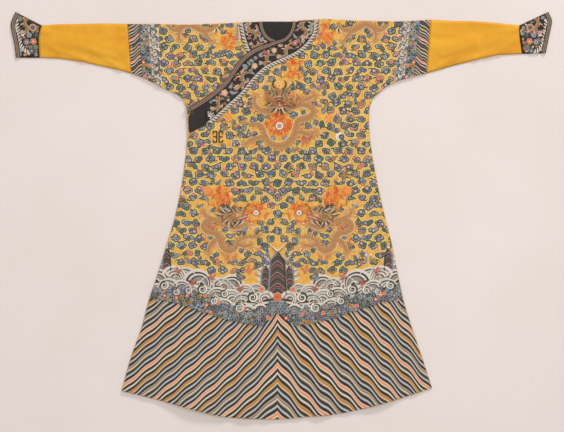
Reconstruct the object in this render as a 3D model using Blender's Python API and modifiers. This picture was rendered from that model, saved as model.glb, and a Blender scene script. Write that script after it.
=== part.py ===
"""Chinese dragon robe, laid out flat and face up.

Metres, +Z up. The robe lies on z = 0 with its neck towards +Y and the wearer's left side towards +X.
Its cut is given in plan, in millimetres: across from the centre seam, plus towards the wearer's left,
and down from the shoulder line. The origin is under the middle of the whole outline.
"""

import math

import bmesh
import bpy
from mathutils import Vector
from mathutils.geometry import delaunay_2d_cdt

MM = 0.001

# Overall reach of the robe, in millimetres.
REACH_RIGHT = 954.0    # centre seam to the wearer's right cuff
REACH_LEFT = 982.0     # centre seam to the wearer's left cuff
CUFF_RISE = 34.0       # tips of the cuffs above the shoulder line
ROBE_LENGTH = 1425.0   # shoulder line to the lowest point of the hem
MID_ACROSS = (REACH_LEFT - REACH_RIGHT) / 2
MID_DOWN = (ROBE_LENGTH - CUFF_RISE) / 2

# Cloth thicknesses, in millimetres.
WALL = 1.5             # worked silk with its lining
TRIM_WALL = 1.2        # satin bands, bindings and braid
GAP = 0.3              # between layers, and across each seam
INNER_LEVEL = WALL + GAP
OUTER_LEVEL = 2 * (WALL + GAP)
TRIM_ON_INNER = INNER_LEVEL + WALL + GAP
TRIM_ON_OUTER = OUTER_LEVEL + WALL + GAP
LAYER_EASE = 72.0      # width over which the outer front comes down off the inner one

# Neck, bands and closing, in millimetres.
NECK_HALF = 53.0
NECK_DEPTH = 66.0
NECK_BINDING = 14.0
OVERLAP_BINDING = 18.0
BRAID_WIDTH = 16.0
CUFF_BINDING = 15.0
INNER_EDGE = 10.0      # the inner front stops this far short of the centre seam
INNER_HEM_RISE = 15.0  # and its hem is cut this much shorter
BLOCK_INNER = 258.0    # the plain block runs from here to the side
BLOCK_FOOT = ((-319, 345), (-316, 400), (-BLOCK_INNER, 372))
BUTTON_RADIUS = 4.5
BUTTON_SHANK = 1.3
LOOP_CORD = 1.0        # radius of the loops' cord
LOOP_HALF = 2.9        # half the width of a loop, at its cord's middle

# Spacing, in millimetres.
LATTICE = 36.0         # spacing of the points that carry the folds
EDGE_STEP = 30.0       # spacing of the points along a curved edge
TIGHT_STEP = 12.0      # the same along the neck and the bands
CUFF_RINGS = 3
CUT_CLEAR = 0.5        # what lies beside the overlap's edge stops this far from it
WELD = 0.02

# Side seams: down, and half the width on the wearer's right and left.
SIDE_SEAMS = (
    (317, 324, 328), (400, 320, 329), (500, 330, 343), (600, 345, 362), (700, 367, 385),
    (800, 397, 410), (900, 428, 430), (1000, 461, 452), (1100, 488, 483), (1200, 524, 517),
)

# Hem from the wearer's right corner to the left one: across, down.
HEM = (
    (-558, 1323), (-446, 1350), (-306, 1389), (-213, 1412), (-134, 1420), (0, 1425),
    (102, 1416), (184, 1410), (288, 1391), (410, 1359), (553, 1312),
)

# Shoulder line from the neck to the sleeve seam: across, down.
SHOULDER_RIGHT = ((-53, 0), (-163, 5), (-320, 11), (-430, 9), (-537, 9))
SHOULDER_LEFT = ((53, 0), (95, -5), (181, -8), (324, -2), (450, -1), (548, -7))

# Under the sleeve, from its seam to the side: across, down.
UNDERARM_RIGHT = ((-524, 186), (-467, 209), (-403, 243), (-356, 264), (-333, 288), (-324, 317))
UNDERARM_LEFT = ((533, 186), (456, 206), (416, 219), (374, 245), (342, 274), (328, 317))

# Edge of the overlap, from the foot of the neck to the side: across, down.
OVERLAP_EDGE = (
    (0, 66), (-30, 77), (-60, 86), (-88, 98), (-127, 128), (-157, 166), (-183, 206),
    (-218, 240), (-257, 270), (-296, 295), (-321, 309),
)

# Middle of each braid, from the shoulder down: across, down.
BRAID_OUTER = (
    (138, -5), (134, 41), (106, 84), (66, 116), (13, 141), (-38, 165), (-81, 204),
    (-127, 260), (-174, 303), (-220, 345), (-249, 367),
)
BRAID_INNER = ((-131, 6), (-123, 52), (-108, 98), (-100, 112))

# Sections of the plain sleeves, body seam first: across and down at the fold, then at the seam below.
SLEEVE_RIGHT = (
    (-537, 9, -524, 186), (-580, 8, -570, 174), (-620, 7, -618, 163), (-700, 9, -700, 145),
    (-780, 10, -780, 133),
)
SLEEVE_LEFT = (
    (548, -7, 533, 186), (590, -4, 580, 173), (625, -2, 622, 160), (700, -1, 700, 141),
    (785, 5, 785, 121),
)

# Ends of the cuffs, from the fold to the seam below: across, down.
CUFF_SEAM_RIGHT = ((-844, 14), (-851, 37), (-855, 64), (-854, 95), (-852, 130))
CUFF_END_RIGHT = ((-938, -34), (-954, 6), (-950, 42), (-941, 84), (-936, 130))
CUFF_SEAM_LEFT = ((866, 14), (865, 38), (867, 64), (871, 90), (875, 116))
CUFF_END_LEFT = ((969, -34), (982, -2), (977, 30), (969, 68), (960, 114))

# Soft folds in the fronts: across and down at the start, the same at the end,
# half the width, and the height at the start and at the end.
FOLDS = (
    (-300, 1130, -300, 1400, 150, 0.0, 10.0),
    (345, 1150, 362, 1390, 105, 0.0, 8.0),
    (-205, 760, -232, 1160, 62, 0.5, 3.5),
    (-110, 930, -118, 1425, 58, 0.0, 4.5),
    (128, 860, 150, 1420, 60, 0.0, 5.0),
    (262, 620, 318, 1120, 66, 0.5, 4.0),
    (-330, 330, -205, 560, 48, 2.5, 0.5),
    (322, 330, 215, 580, 50, 2.5, 0.5),
    (-480, 95, -345, 180, 45, 3.0, 1.0),
    (490, 95, 350, 190, 45, 3.0, 1.0),
    (-815, 70, -560, 100, 42, 3.5, 4.5),
    (840, 62, 570, 95, 42, 3.5, 4.5),
)

# Buttons: across and down of the button, the same for the loop's far end, and the level under each.
TOGGLES = (
    (-321, 297, -304, 331, INNER_LEVEL + WALL, TRIM_ON_OUTER + TRIM_WALL),
    (-313, 409, -288, 404, OUTER_LEVEL + WALL, OUTER_LEVEL + WALL),
    (-346, 641, -320, 638, OUTER_LEVEL + WALL, OUTER_LEVEL + WALL),
)

# Colour, roughness and metallic value of each material.
FINISHES = {
    "worked_silk": ((0.78, 0.49, 0.07), 0.55, 0.0),
    "plain_silk": ((0.80, 0.45, 0.05), 0.45, 0.0),
    "dark_worked_silk": ((0.05, 0.04, 0.05), 0.6, 0.0),
    "dark_satin": ((0.02, 0.02, 0.03), 0.4, 0.0),
    "brown_binding": ((0.14, 0.09, 0.07), 0.6, 0.0),
    "twist_braid": ((0.62, 0.60, 0.50), 0.6, 0.0),
    "gilt_brass": ((0.55, 0.36, 0.12), 0.35, 1.0),
    "loop_cord": ((0.22, 0.15, 0.09), 0.7, 0.0),
}


def place(across, down, height):
    """The point in metres for plan sizes in millimetres."""
    return Vector((across - MID_ACROSS, MID_DOWN - down, height)) * MM


def eased(value):
    """0 to 1, level at both ends."""
    value = min(max(value, 0.0), 1.0)
    return value * value * (3 - 2 * value)


def fold_height(across, down):
    """Height of the soft folds here, in millimetres."""
    total = 0.0
    for x0, y0, x1, y1, half, first, last in FOLDS:
        length = math.hypot(x1 - x0, y1 - y0)
        along = ((across - x0) * (x1 - x0) + (down - y0) * (y1 - y0)) / length
        aside = abs((across - x0) * (y1 - y0) - (down - y0) * (x1 - x0)) / length
        past = max(-along, along - length, 0.0)
        away = math.hypot(aside, past) / half
        if away < 1:
            total += (first + (last - first) * eased(along / length)) * (1 - eased(away))
    return total


def outer_height(across, down):
    """The folds, and the slope by which the outer front comes down off the inner one."""
    return fold_height(across, down) - (WALL + GAP) * eased(across / LAYER_EASE)


def flat_height(across, down):
    return 0.0


def on_lattice(height, across, down):
    """The height read from the lattice's flat triangles, so that stacked layers stay parallel."""
    column, row = math.floor(across / LATTICE), math.floor(down / LATTICE)
    u, v = across / LATTICE - column, down / LATTICE - row
    near = height(column * LATTICE, row * LATTICE)
    far = height((column + 1) * LATTICE, (row + 1) * LATTICE)
    if u >= v:
        side = height((column + 1) * LATTICE, row * LATTICE)
        return near + u * (side - near) + v * (far - side)
    side = height(column * LATTICE, (row + 1) * LATTICE)
    return near + v * (side - near) + u * (far - side)


def curve(points, step=EDGE_STEP):
    """Points along a smooth curve through the given ones, about one step apart."""
    ends = [points[0], *points, points[-1]]
    found = []
    for a, b, c, d in zip(ends, ends[1:], ends[2:], ends[3:]):
        count = max(1, round(math.dist(b, c) / step))
        for k in range(count):
            t = k / count
            found.append(tuple(
                ((-p + 3 * q - 3 * r + s) * t**3 + (2 * p - 5 * q + 4 * r - s) * t**2 + (r - p) * t) / 2 + q
                for p, q, r, s in zip(a, b, c, d)
            ))
    return [*found, tuple(points[-1])]


def beside(line, distances):
    """The line moved sideways: to its left, seen from above, where the distance is more than 0."""
    if not hasattr(distances, "__len__"):
        distances = [distances] * len(line)
    moved = []
    for k, (x, y) in enumerate(line):
        before, after = line[max(k - 1, 0)], line[min(k + 1, len(line) - 1)]
        along = Vector((after[0] - before[0], after[1] - before[1])).normalized()
        moved.append((x + along.y * distances[k], y - along.x * distances[k]))
    return moved


def neck_arc(first, last):
    """Points round the neck's edge between two angles in degrees, 0 at its foot, 90 at the wearer's left."""
    count = max(2, round(abs(last - first) * math.radians(NECK_HALF) / TIGHT_STEP))
    angles = (math.radians(first + (last - first) * k / count) for k in range(count + 1))
    return [(NECK_HALF * math.sin(a), NECK_DEPTH * math.cos(a)) for a in angles]


def row_at(line, across):
    """How far down the line is at this place across."""
    for (x0, y0), (x1, y1) in zip(line, line[1:]):
        if min(x0, x1) <= across <= max(x0, x1) and x0 != x1:
            return y0 + (y1 - y0) * (across - x0) / (x1 - x0)
    return min(line, key=lambda point: abs(point[0] - across))[1]


def holds(outline, across, down):
    """Whether the outline goes round this point."""
    inside = False
    for (x0, y0), (x1, y1) in zip(outline, [*outline[1:], outline[0]]):
        if (y0 > down) != (y1 > down) and across < x0 + (x1 - x0) * (down - y0) / (y1 - y0):
            inside = not inside
    return inside


def lattice_over(outline):
    """Points and edges of the lattice that covers the outline."""
    columns, rows = (
        range(math.floor(min(reach) / LATTICE), math.ceil(max(reach) / LATTICE) + 1)
        for reach in zip(*outline)
    )
    spots = [(i, j) for j in rows for i in columns]
    number = {spot: k for k, spot in enumerate(spots)}
    edges = [
        (k, number[(i + di, j + dj)])
        for (i, j), k in number.items()
        for di, dj in ((1, 0), (0, 1), (1, 1))
        if (i + di, j + dj) in number
    ]
    return [(i * LATTICE, j * LATTICE) for i, j in spots], edges


def tessellated(outline, folded, cut):
    """Flat triangles that fill the outline, split along the lattice where the cloth is folded."""
    points, edges = lattice_over(outline) if folded else ([], [])
    for line, is_ring in ((outline, True), (cut or [], False)):
        first = len(points)
        points = [*points, *line]
        edges += [(first + k, first + k + 1) for k in range(len(line) - 1)]
        edges += [(len(points) - 1, first)] if is_ring else []
    made = delaunay_2d_cdt([Vector(p) for p in points], edges, [], 0, WELD)
    kept = []
    for face in made[2]:
        x, y = sum((made[0][k] for k in face), Vector((0, 0))) / len(face)
        if holds(outline, x, y) and (cut is None or y < row_at(cut, x)):
            kept.append(face)
    return made[0], kept


def material(name):
    if name in bpy.data.materials:
        return bpy.data.materials[name]
    colour, roughness, metallic = FINISHES[name]
    made = bpy.data.materials.new(name)
    made.use_nodes = True
    shader = made.node_tree.nodes["Principled BSDF"]
    shader.inputs["Base Color"].default_value = (*colour, 1)
    shader.inputs["Roughness"].default_value = roughness
    shader.inputs["Metallic"].default_value = metallic
    made.diffuse_color = (*colour, 1)
    return made


def add_object(name, data, finish):
    piece = bpy.data.objects.new(name, data)
    data.materials.append(material(finish))
    robe.objects.link(piece)
    return piece


def add_panel(name, outline, level, finish, height=fold_height, wall=WALL, cut=None):
    """One cut piece of cloth: a wall over its outline, lying at its level on the folds."""
    points, faces = tessellated(outline, height is not flat_height, cut)
    shape = bmesh.new()
    used = sorted({k for face in faces for k in face})
    made = {
        k: shape.verts.new(place(*points[k], level + on_lattice(height, *points[k])))
        for k in used
    }
    for face in faces:
        # Down runs against Y, so the order is turned round to face up.
        shape.faces.new([made[k] for k in reversed(face)])
    mesh = bpy.data.meshes.new(name)
    shape.to_mesh(mesh)
    shape.free()
    panel = add_object(name, mesh, finish)
    solidify = panel.modifiers.new("wall", "SOLIDIFY")
    solidify.thickness = wall * MM
    solidify.offset = 1
    return panel


def tube_ring(section, inset):
    """Points round one section of a flattened tube, moved in from its outside by the inset."""
    first, last = Vector(section[0]), Vector(section[-1])
    inward = (last - first).normalized()
    turn = WALL + GAP / 2
    ends = [first + inward * (turn + inset / 2), last - inward * (turn + inset / 2)]
    flat = [ends[0], *(Vector(p) for p in section[1:-1]), ends[1]]
    lower = [place(*p, inset) for p in flat]
    upper = [place(*p, INNER_LEVEL + WALL - inset + fold_height(*p)) for p in flat]
    fold, seam = first + inward * inset, last - inward * inset
    return [place(*fold, turn), *lower, place(*seam, turn), *reversed(upper)]


def add_tube(name, sections, finish):
    """A flattened tube of cloth, open at both ends, lofted through its sections."""
    shape = bmesh.new()
    shells = [
        [[shape.verts.new(p) for p in tube_ring(section, inset)] for section in sections]
        for inset in (0.0, WALL)
    ]
    for rings in shells:
        for ring, following in zip(rings, rings[1:]):
            bridge(shape, ring, following)
    for end in (0, -1):
        bridge(shape, shells[0][end], shells[1][end])
    bmesh.ops.recalc_face_normals(shape, faces=shape.faces)
    mesh = bpy.data.meshes.new(name)
    shape.to_mesh(mesh)
    shape.free()
    return add_object(name, mesh, finish)


def bridge(shape, ring, following):
    count = len(ring)
    for k in range(count):
        after = (k + 1) % count
        shape.faces.new((ring[k], ring[after], following[after], following[k]))


def between(first, last, share):
    return [tuple(a + (b - a) * share for a, b in zip(p, q)) for p, q in zip(first, last)]


def parted(section, towards):
    """The section moved off its seam by the gap."""
    return [(x + math.copysign(GAP, towards), y) for x, y in section]


def add_arm(side, rows, seam, end):
    """A plain sleeve and its cuff, with the cuff's bound edge."""
    sign = -1 if side == "right" else 1
    points_across = 2 * len(seam) - 1
    shares = [k / (points_across - 1) for k in range(points_across)]
    straight = [[(a + (c - a) * t, b + (d - b) * t) for t in shares] for a, b, c, d in rows]
    curved_seam = resampled(seam, points_across)
    curved_end = resampled(end, points_across)
    sleeve = [parted(straight[0], sign), *straight[1:], parted(curved_seam, -sign)]
    add_tube(f"sleeve_{side}", sleeve, "plain_silk")
    cuff = [between(curved_seam, curved_end, k / CUFF_RINGS) for k in range(CUFF_RINGS + 1)]
    add_tube(f"cuff_{side}", cuff, "dark_worked_silk")
    edge = beside(curved_end, -sign * GAP)
    strip = [*edge, *reversed(beside(edge, -sign * CUFF_BINDING))]
    add_panel(
        f"cuff_binding_{side}", strip, TRIM_ON_INNER, "brown_binding", flat_height, TRIM_WALL,
    )


def resampled(points, count):
    """The curve through the points, as this many points."""
    fine = curve(points, math.dist(points[0], points[-1]) / (8 * count))
    return [fine[round(k * (len(fine) - 1) / (count - 1))] for k in range(count)]


def add_body():
    """The backs and the fronts, each cut in one with its upper sleeve."""
    right_side = curve([(-row[1], row[0]) for row in SIDE_SEAMS] + [HEM[0]])
    left_side = curve([(row[2], row[0]) for row in SIDE_SEAMS] + [HEM[-1]])
    hem = curve(HEM)
    right_hem = [point for point in hem if point[0] < -INNER_EDGE]
    left_hem = [point for point in hem if point[0] > INNER_EDGE]
    right_arm = [*curve(SHOULDER_RIGHT), *curve(UNDERARM_RIGHT)]
    left_arm = [*curve(SHOULDER_LEFT), *curve(UNDERARM_LEFT)]
    half_gap = GAP / 2

    add_panel(
        "back_right",
        [(-half_gap, 0), *right_arm, *right_side[1:], *right_hem[1:], (-half_gap, ROBE_LENGTH)],
        0.0, "worked_silk", flat_height,
    )
    add_panel(
        "back_left",
        [(half_gap, 0), *left_arm, *left_side[1:], *reversed(left_hem[:-1]), (half_gap, ROBE_LENGTH)],
        0.0, "worked_silk", flat_height,
    )
    inner_hem = [(x, y - INNER_HEM_RISE) for x, y in right_hem[1:]]
    foot = NECK_DEPTH * math.sqrt(1 - (INNER_EDGE / NECK_HALF) ** 2)
    neck_from = -math.degrees(math.asin(INNER_EDGE / NECK_HALF))
    add_panel(
        "front_inner",
        [
            *right_arm, *right_side[1:-1], *inner_hem, (-INNER_EDGE, ROBE_LENGTH - INNER_HEM_RISE),
            (-INNER_EDGE, foot), *neck_arc(neck_from, -90)[1:-1],
        ],
        INNER_LEVEL, "worked_silk",
    )
    overlap_edge = curve(OVERLAP_EDGE, TIGHT_STEP * 2)
    add_panel(
        "front_overlap",
        [
            (-half_gap, overlap_edge[0][1]), *overlap_edge[1:], *right_side, *right_hem[1:],
            (-half_gap, ROBE_LENGTH - 2 * GAP),
        ],
        OUTER_LEVEL, "worked_silk", outer_height,
    )
    add_panel(
        "front_left",
        [
            *left_arm, *left_side[1:], *reversed(left_hem[:-1]), (half_gap, ROBE_LENGTH - 2 * GAP),
            (half_gap, NECK_DEPTH), *neck_arc(0, 90)[1:-1],
        ],
        OUTER_LEVEL, "worked_silk", outer_height,
    )


def add_bands():
    """The collar bands, the plain block, the bindings and the braids, which lie on the fronts."""
    overlap_edge = curve(OVERLAP_EDGE, TIGHT_STEP * 2)
    edge = [*neck_arc(90, 0), *overlap_edge[1:]]
    widths = [
        NECK_BINDING + (OVERLAP_BINDING - NECK_BINDING) * eased(-x / NECK_HALF) for x, _ in edge
    ]
    inside = beside(edge, widths)
    add_panel(
        "binding_outer", [*edge, *reversed(inside)], TRIM_ON_OUTER, "brown_binding",
        outer_height, TRIM_WALL,
    )

    half = BRAID_WIDTH / 2
    braid = curve(BRAID_OUTER, TIGHT_STEP * 2)
    add_panel(
        "braid_outer", [*beside(braid, half), *reversed(beside(braid, -half))], TRIM_ON_OUTER,
        "twist_braid", outer_height, TRIM_WALL,
    )

    band_top = beside(edge, [width + GAP for width in widths])
    band_low = beside(braid, -half - GAP)
    along_band = [point for point in band_top if point[0] > -BLOCK_INNER + GAP]
    add_panel(
        "collar_outer",
        [
            *along_band, (-BLOCK_INNER + GAP, row_at(band_top, -BLOCK_INNER + GAP)),
            (-BLOCK_INNER + GAP, band_low[-1][1] + half), *reversed(band_low),
        ],
        TRIM_ON_OUTER, "dark_worked_silk", outer_height, TRIM_WALL,
    )
    block_top = [point for point in band_top if point[0] < -BLOCK_INNER]
    add_panel(
        "overlap_block",
        [(-BLOCK_INNER, row_at(band_top, -BLOCK_INNER)), *block_top, *BLOCK_FOOT],
        TRIM_ON_OUTER, "dark_satin", outer_height, TRIM_WALL,
    )

    cut = [(x, y - CUT_CLEAR) for x, y in overlap_edge]
    neck_right = neck_arc(-90, -4)
    add_panel(
        "binding_inner", [*neck_right, *reversed(beside(neck_right, -NECK_BINDING))], TRIM_ON_INNER,
        "brown_binding", fold_height, TRIM_WALL, cut,
    )
    braid = curve(BRAID_INNER, TIGHT_STEP * 2)
    add_panel(
        "braid_inner", [*beside(braid, half), *reversed(beside(braid, -half))], TRIM_ON_INNER,
        "twist_braid", fold_height, TRIM_WALL, cut,
    )
    add_panel(
        "collar_inner",
        [
            *beside(braid, half + GAP), *reversed(beside(neck_right, -NECK_BINDING - GAP)),
        ],
        TRIM_ON_INNER, "dark_worked_silk", fold_height, TRIM_WALL, cut,
    )


def add_button(number, across, down, under, loop_height):
    """A ball on a shank: a turned profile, from its foot to the top of the ball."""
    foot = under + GAP + on_lattice(fold_height, across, down)
    shank_top = loop_height + LOOP_CORD + GAP - foot
    bottom = math.asin(BUTTON_SHANK / BUTTON_RADIUS)
    middle = shank_top + BUTTON_RADIUS * math.cos(bottom)
    steps = 8
    profile = [(0.0, 0.0), (2 * BUTTON_SHANK, 0.0), (BUTTON_SHANK, BUTTON_SHANK / 2)]
    for k in range(steps + 1):
        angle = bottom + (math.pi - bottom) * k / steps
        radius = BUTTON_RADIUS * math.sin(angle) if k < steps else 0.0
        profile.append((radius, middle - BUTTON_RADIUS * math.cos(angle)))
    profile.reverse()
    mesh = bpy.data.meshes.new(f"button_{number}")
    mesh.from_pydata(
        [(r * MM, 0, z * MM) for r, z in profile], [(k, k + 1) for k in range(len(profile) - 1)], []
    )
    button = add_object(f"button_{number}", mesh, "gilt_brass")
    button.location = place(across, down, foot)
    turn = button.modifiers.new("turned", "SCREW")
    turn.steps = turn.render_steps = 14
    turn.use_merge_vertices = True
    turn.merge_threshold = 0.00001


def loop_route(across, down, far_across, far_down):
    """The middle of a loop's cord in plan: half round the button, and half round its far end."""
    along = Vector((far_across - across, far_down - down)).normalized()
    aside = Vector((-along.y, along.x))
    turn_points = 6
    route = []
    for centre, start in (((far_across, far_down), -90), ((across, down), 90)):
        for k in range(turn_points + 1):
            angle = math.radians(start + 180 * k / turn_points)
            route.append(Vector(centre) + (along * math.cos(angle) + aside * math.sin(angle)) * LOOP_HALF)
    return route


def add_loop(number, route, height):
    """A cord loop round the button's shank, lying on the cloth."""
    cord = bpy.data.curves.new(f"loop_{number}", "CURVE")
    cord.dimensions = "3D"
    cord.bevel_depth = LOOP_CORD * MM
    cord.bevel_resolution = 1
    spline = cord.splines.new("POLY")
    spline.points.add(len(route) - 1)
    for spot, point in zip(spline.points, route):
        spot.co = (*place(*point, height), 1)
    spline.use_cyclic_u = True
    add_object(f"loop_{number}", cord, "loop_cord")


for leftover in list(bpy.data.objects):
    bpy.data.objects.remove(leftover)
robe = bpy.data.collections.new("dragon_robe")
bpy.context.scene.collection.children.link(robe)

add_body()
add_bands()
add_arm("right", SLEEVE_RIGHT, CUFF_SEAM_RIGHT, CUFF_END_RIGHT)
add_arm("left", SLEEVE_LEFT, CUFF_SEAM_LEFT, CUFF_END_LEFT)
for number, (across, down, far_across, far_down, under, loop_level) in enumerate(TOGGLES, 1):
    route = loop_route(across, down, far_across, far_down)
    cord_height = loop_level + GAP + LOOP_CORD + max(on_lattice(fold_height, *spot) for spot in route)
    add_button(number, across, down, under, cord_height)
    add_loop(number, route, cord_height)
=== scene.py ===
# %% [markdown]
# # A Chinese dragon robe, laid flat
# The robe is a court garment of yellow silk satin, covered with embroidery. Its left front laps over the
# right one and fastens under the wearer's right arm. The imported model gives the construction: every cut
# piece at its real size and place. This lesson gives each piece its cloth, creases and needlework.

# %% The frame
import math
import random

import bpy
import numpy as np
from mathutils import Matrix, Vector
from mathutils.geometry import delaunay_2d_cdt


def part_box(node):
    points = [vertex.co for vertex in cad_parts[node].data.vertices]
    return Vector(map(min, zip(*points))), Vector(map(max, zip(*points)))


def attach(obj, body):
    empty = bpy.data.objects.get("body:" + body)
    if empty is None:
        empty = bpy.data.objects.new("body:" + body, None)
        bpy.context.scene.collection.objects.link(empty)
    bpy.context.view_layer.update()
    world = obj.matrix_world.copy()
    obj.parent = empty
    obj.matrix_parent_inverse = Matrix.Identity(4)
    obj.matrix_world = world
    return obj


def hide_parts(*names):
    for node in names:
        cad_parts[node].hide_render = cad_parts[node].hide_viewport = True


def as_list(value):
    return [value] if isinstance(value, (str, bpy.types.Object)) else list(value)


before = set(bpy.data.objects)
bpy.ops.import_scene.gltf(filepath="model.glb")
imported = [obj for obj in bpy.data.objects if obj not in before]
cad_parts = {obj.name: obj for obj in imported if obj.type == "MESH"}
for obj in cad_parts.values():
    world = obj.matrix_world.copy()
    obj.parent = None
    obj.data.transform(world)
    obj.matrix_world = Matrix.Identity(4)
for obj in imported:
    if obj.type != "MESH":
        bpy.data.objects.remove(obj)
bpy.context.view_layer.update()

print("frame:", len(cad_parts), "nodes")

# %% [markdown]
# ## Sizes in plan
# A cutter measures a robe flat: how far across from the centre seam, and how far down from the shoulder
# line. All patterns here are drawn in those millimetres, and one function turns them into the frame's
# metres. The frame's origin is under the middle of the whole garment, arms included.

# %% Plan sizes
MM = 0.001
MID_ACROSS = 14.0
MID_DOWN = 695.5


def in_frame(across, down, height):
    """Points in metres for plan sizes in millimetres."""
    return np.stack([(across - MID_ACROSS) * MM, (MID_DOWN - down) * MM, height * MM], axis=-1)


def in_plan(points):
    """Across, down and height in millimetres for points in metres."""
    points = np.asarray(points, float) / MM
    return np.stack([points[..., 0] + MID_ACROSS, MID_DOWN - points[..., 1], points[..., 2]], axis=-1)


def eased(value):
    """0 to 1, level at both ends."""
    value = np.clip(value, 0.0, 1.0)
    return value * value * (3 - 2 * value)


def flowing(points, step):
    """A smooth curve through the points, as an array with a point about every step."""
    points = np.asarray(points, float)
    ends = np.vstack([2 * points[0] - points[1], points, 2 * points[-1] - points[-2]])
    found = []
    for a, b, c, d in zip(ends, ends[1:], ends[2:], ends[3:]):
        count = max(1, int(round(np.hypot(*(c - b)[:2]) / step)))
        t = (np.arange(count) / count)[:, None]
        bend, twist = a - 2.5 * b + 2 * c - d / 2, 1.5 * (b - c) + (d - a) / 2
        found.append(b + t * (c - a) / 2 + t**2 * bend + t**3 * twist)
    return np.vstack([*found, points[-1]])


def read_off(table, value):
    """The second column of a table at a value of its first one."""
    return np.interp(value, *zip(*table))


def heading(degrees):
    """The direction at an angle, turned from across towards down."""
    return np.array([math.cos(math.radians(degrees)), math.sin(math.radians(degrees))])


def directions(line):
    """The direction of a line at each of its points, and the one square to it."""
    along = np.gradient(line, axis=0)
    along /= np.maximum(np.hypot(*along.T), 1e-9)[:, None]
    return along, np.stack([-along[:, 1], along[:, 0]], 1)


# %% Triangles
def crossed(points, faces):
    """The cross product of two sides of each triangle, which in plan is twice its area."""
    a, b, c = (points[faces[:, k]] for k in range(3))
    return np.cross(b - a, c - a)


def turned_up(points, faces, least):
    """The triangles in plan, all turned to face up, and which of them are larger than a sliver."""
    area = crossed(points, faces)
    return np.where(area[:, None] > 0, faces[:, ::-1], faces), np.abs(area) > least  # down runs against Y


def halved(a, b, c, d):
    """Two triangles for each square, whose corners are given in order."""
    return np.vstack([np.stack([a, b, c], 1), np.stack([a, c, d], 1)])


def numbered(rows, columns):
    """The row and the place in it of every square of a grid."""
    return (grid.ravel() for grid in np.indices((rows, columns)))


def sheet_faces(rows, columns):
    """The triangles between rows of points, and the row that each square is in."""
    row, at = numbered(rows - 1, columns - 1)
    a = row * columns + at
    return halved(a, a + 1, a + columns + 1, a + columns), row


def ring_faces(rings, count, closed=False):
    """The triangles between rings of points, and from the last ring to the first one if it is closed."""
    row, at = numbered(rings - (not closed), count)
    after, below = (at + 1) % count, (row + 1) % rings
    return halved(row * count + at, row * count + after, below * count + after, below * count + at)


# %% [markdown]
# ## Folds and creases
# Cloth that is laid out by hand keeps a few soft folds, and some sharper creases where it was folded in its
# chest. Each row below is one of them: a ridge along a line, with its half width and the height at both
# ends. The large ones are those of the solids. All the layers of the front read the same map of heights, so
# that they lie on each other and never cross.

# %% The lie of the cloth
FOLDS = (  # across and down at the start, the same at the end, half width, first and last height
    (-300, 1130, -300, 1400, 150, 0.0, 10.0),
    (345, 1150, 362, 1390, 105, 0.0, 8.0),
    (-205, 760, -232, 1160, 62, 0.5, 3.5),
    (-110, 930, -118, 1425, 58, 0.0, 4.5),
    (128, 860, 150, 1420, 60, 0.0, 5.0),
    (262, 620, 318, 1120, 66, 0.5, 4.0),
    (-330, 330, -205, 560, 48, 2.5, 0.5),
    (322, 330, 215, 580, 50, 2.5, 0.5),
    (-480, 95, -345, 180, 45, 3.0, 1.0),
    (490, 95, 350, 190, 45, 3.0, 1.0),
    (-815, 70, -560, 100, 42, 3.5, 4.5),
    (840, 62, 570, 95, 42, 3.5, 4.5),
)
CREASES = (  # the same columns, for the finer ones
    (-318, 352, -262, 470, 20, 1.6, 0.3),
    (-322, 420, -250, 545, 24, 1.2, 0.2),
    (-300, 335, -205, 392, 20, 1.3, 0.2),
    (318, 345, 262, 452, 20, 1.7, 0.3),
    (326, 410, 262, 560, 26, 1.3, 0.2),
    (300, 318, 196, 372, 20, 1.2, 0.2),
    (-420, 228, -330, 205, 22, 1.5, 0.3),
    (-352, 262, -262, 236, 24, 1.3, 0.3),
    (424, 214, 330, 196, 22, 1.5, 0.3),
    (368, 248, 276, 226, 24, 1.2, 0.3),
    (-60, 640, -86, 900, 30, 0.2, 1.3),
    (72, 560, 92, 840, 34, 0.2, 1.2),
    (182, 700, 214, 1010, 32, 0.3, 1.5),
    (-268, 600, -310, 880, 34, 0.3, 1.6),
    (330, 700, 402, 1010, 36, 0.3, 1.6),
    (-362, 760, -420, 1010, 32, 0.3, 1.5),
    (-392, 1040, -470, 1320, 40, 0.5, 2.4),
    (-186, 1120, -200, 1405, 34, 0.4, 2.2),
    (-40, 1140, -48, 1424, 30, 0.3, 1.8),
    (60, 1100, 70, 1420, 34, 0.4, 2.2),
    (226, 1090, 250, 1400, 34, 0.4, 2.4),
    (430, 1060, 492, 1320, 38, 0.5, 2.4),
    (-562, 168, -668, 100, 14, 4.2, 0.8),
    (-580, 128, -716, 84, 16, 3.6, 0.8),
    (-552, 50, -672, 62, 18, 2.2, 0.5),
    (-690, 136, -800, 96, 14, 3.6, 0.8),
    (-742, 52, -846, 34, 16, 0.6, 2.6),
    (-780, 112, -846, 66, 13, 2.4, 0.5),
    (576, 160, 672, 108, 14, 3.4, 0.8),
    (592, 122, 716, 80, 16, 3.2, 0.8),
    (566, 42, 694, 56, 18, 2.0, 0.5),
    (702, 134, 806, 88, 13, 4.0, 0.8),
    (744, 128, 836, 100, 12, 3.6, 1.2),
    (750, 46, 858, 26, 16, 0.6, 2.8),
    (790, 110, 862, 62, 13, 2.6, 0.5),
)
MAP_STEP = 6.0
MAP_LEFT, MAP_TOP, MAP_COLUMNS, MAP_ROWS = -1020.0, -72.0, 342, 256
WALL, TRIM_WALL = 1.5, 1.2
LAYER_EASE, LAYER_DROP = 72.0, 1.8

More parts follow.
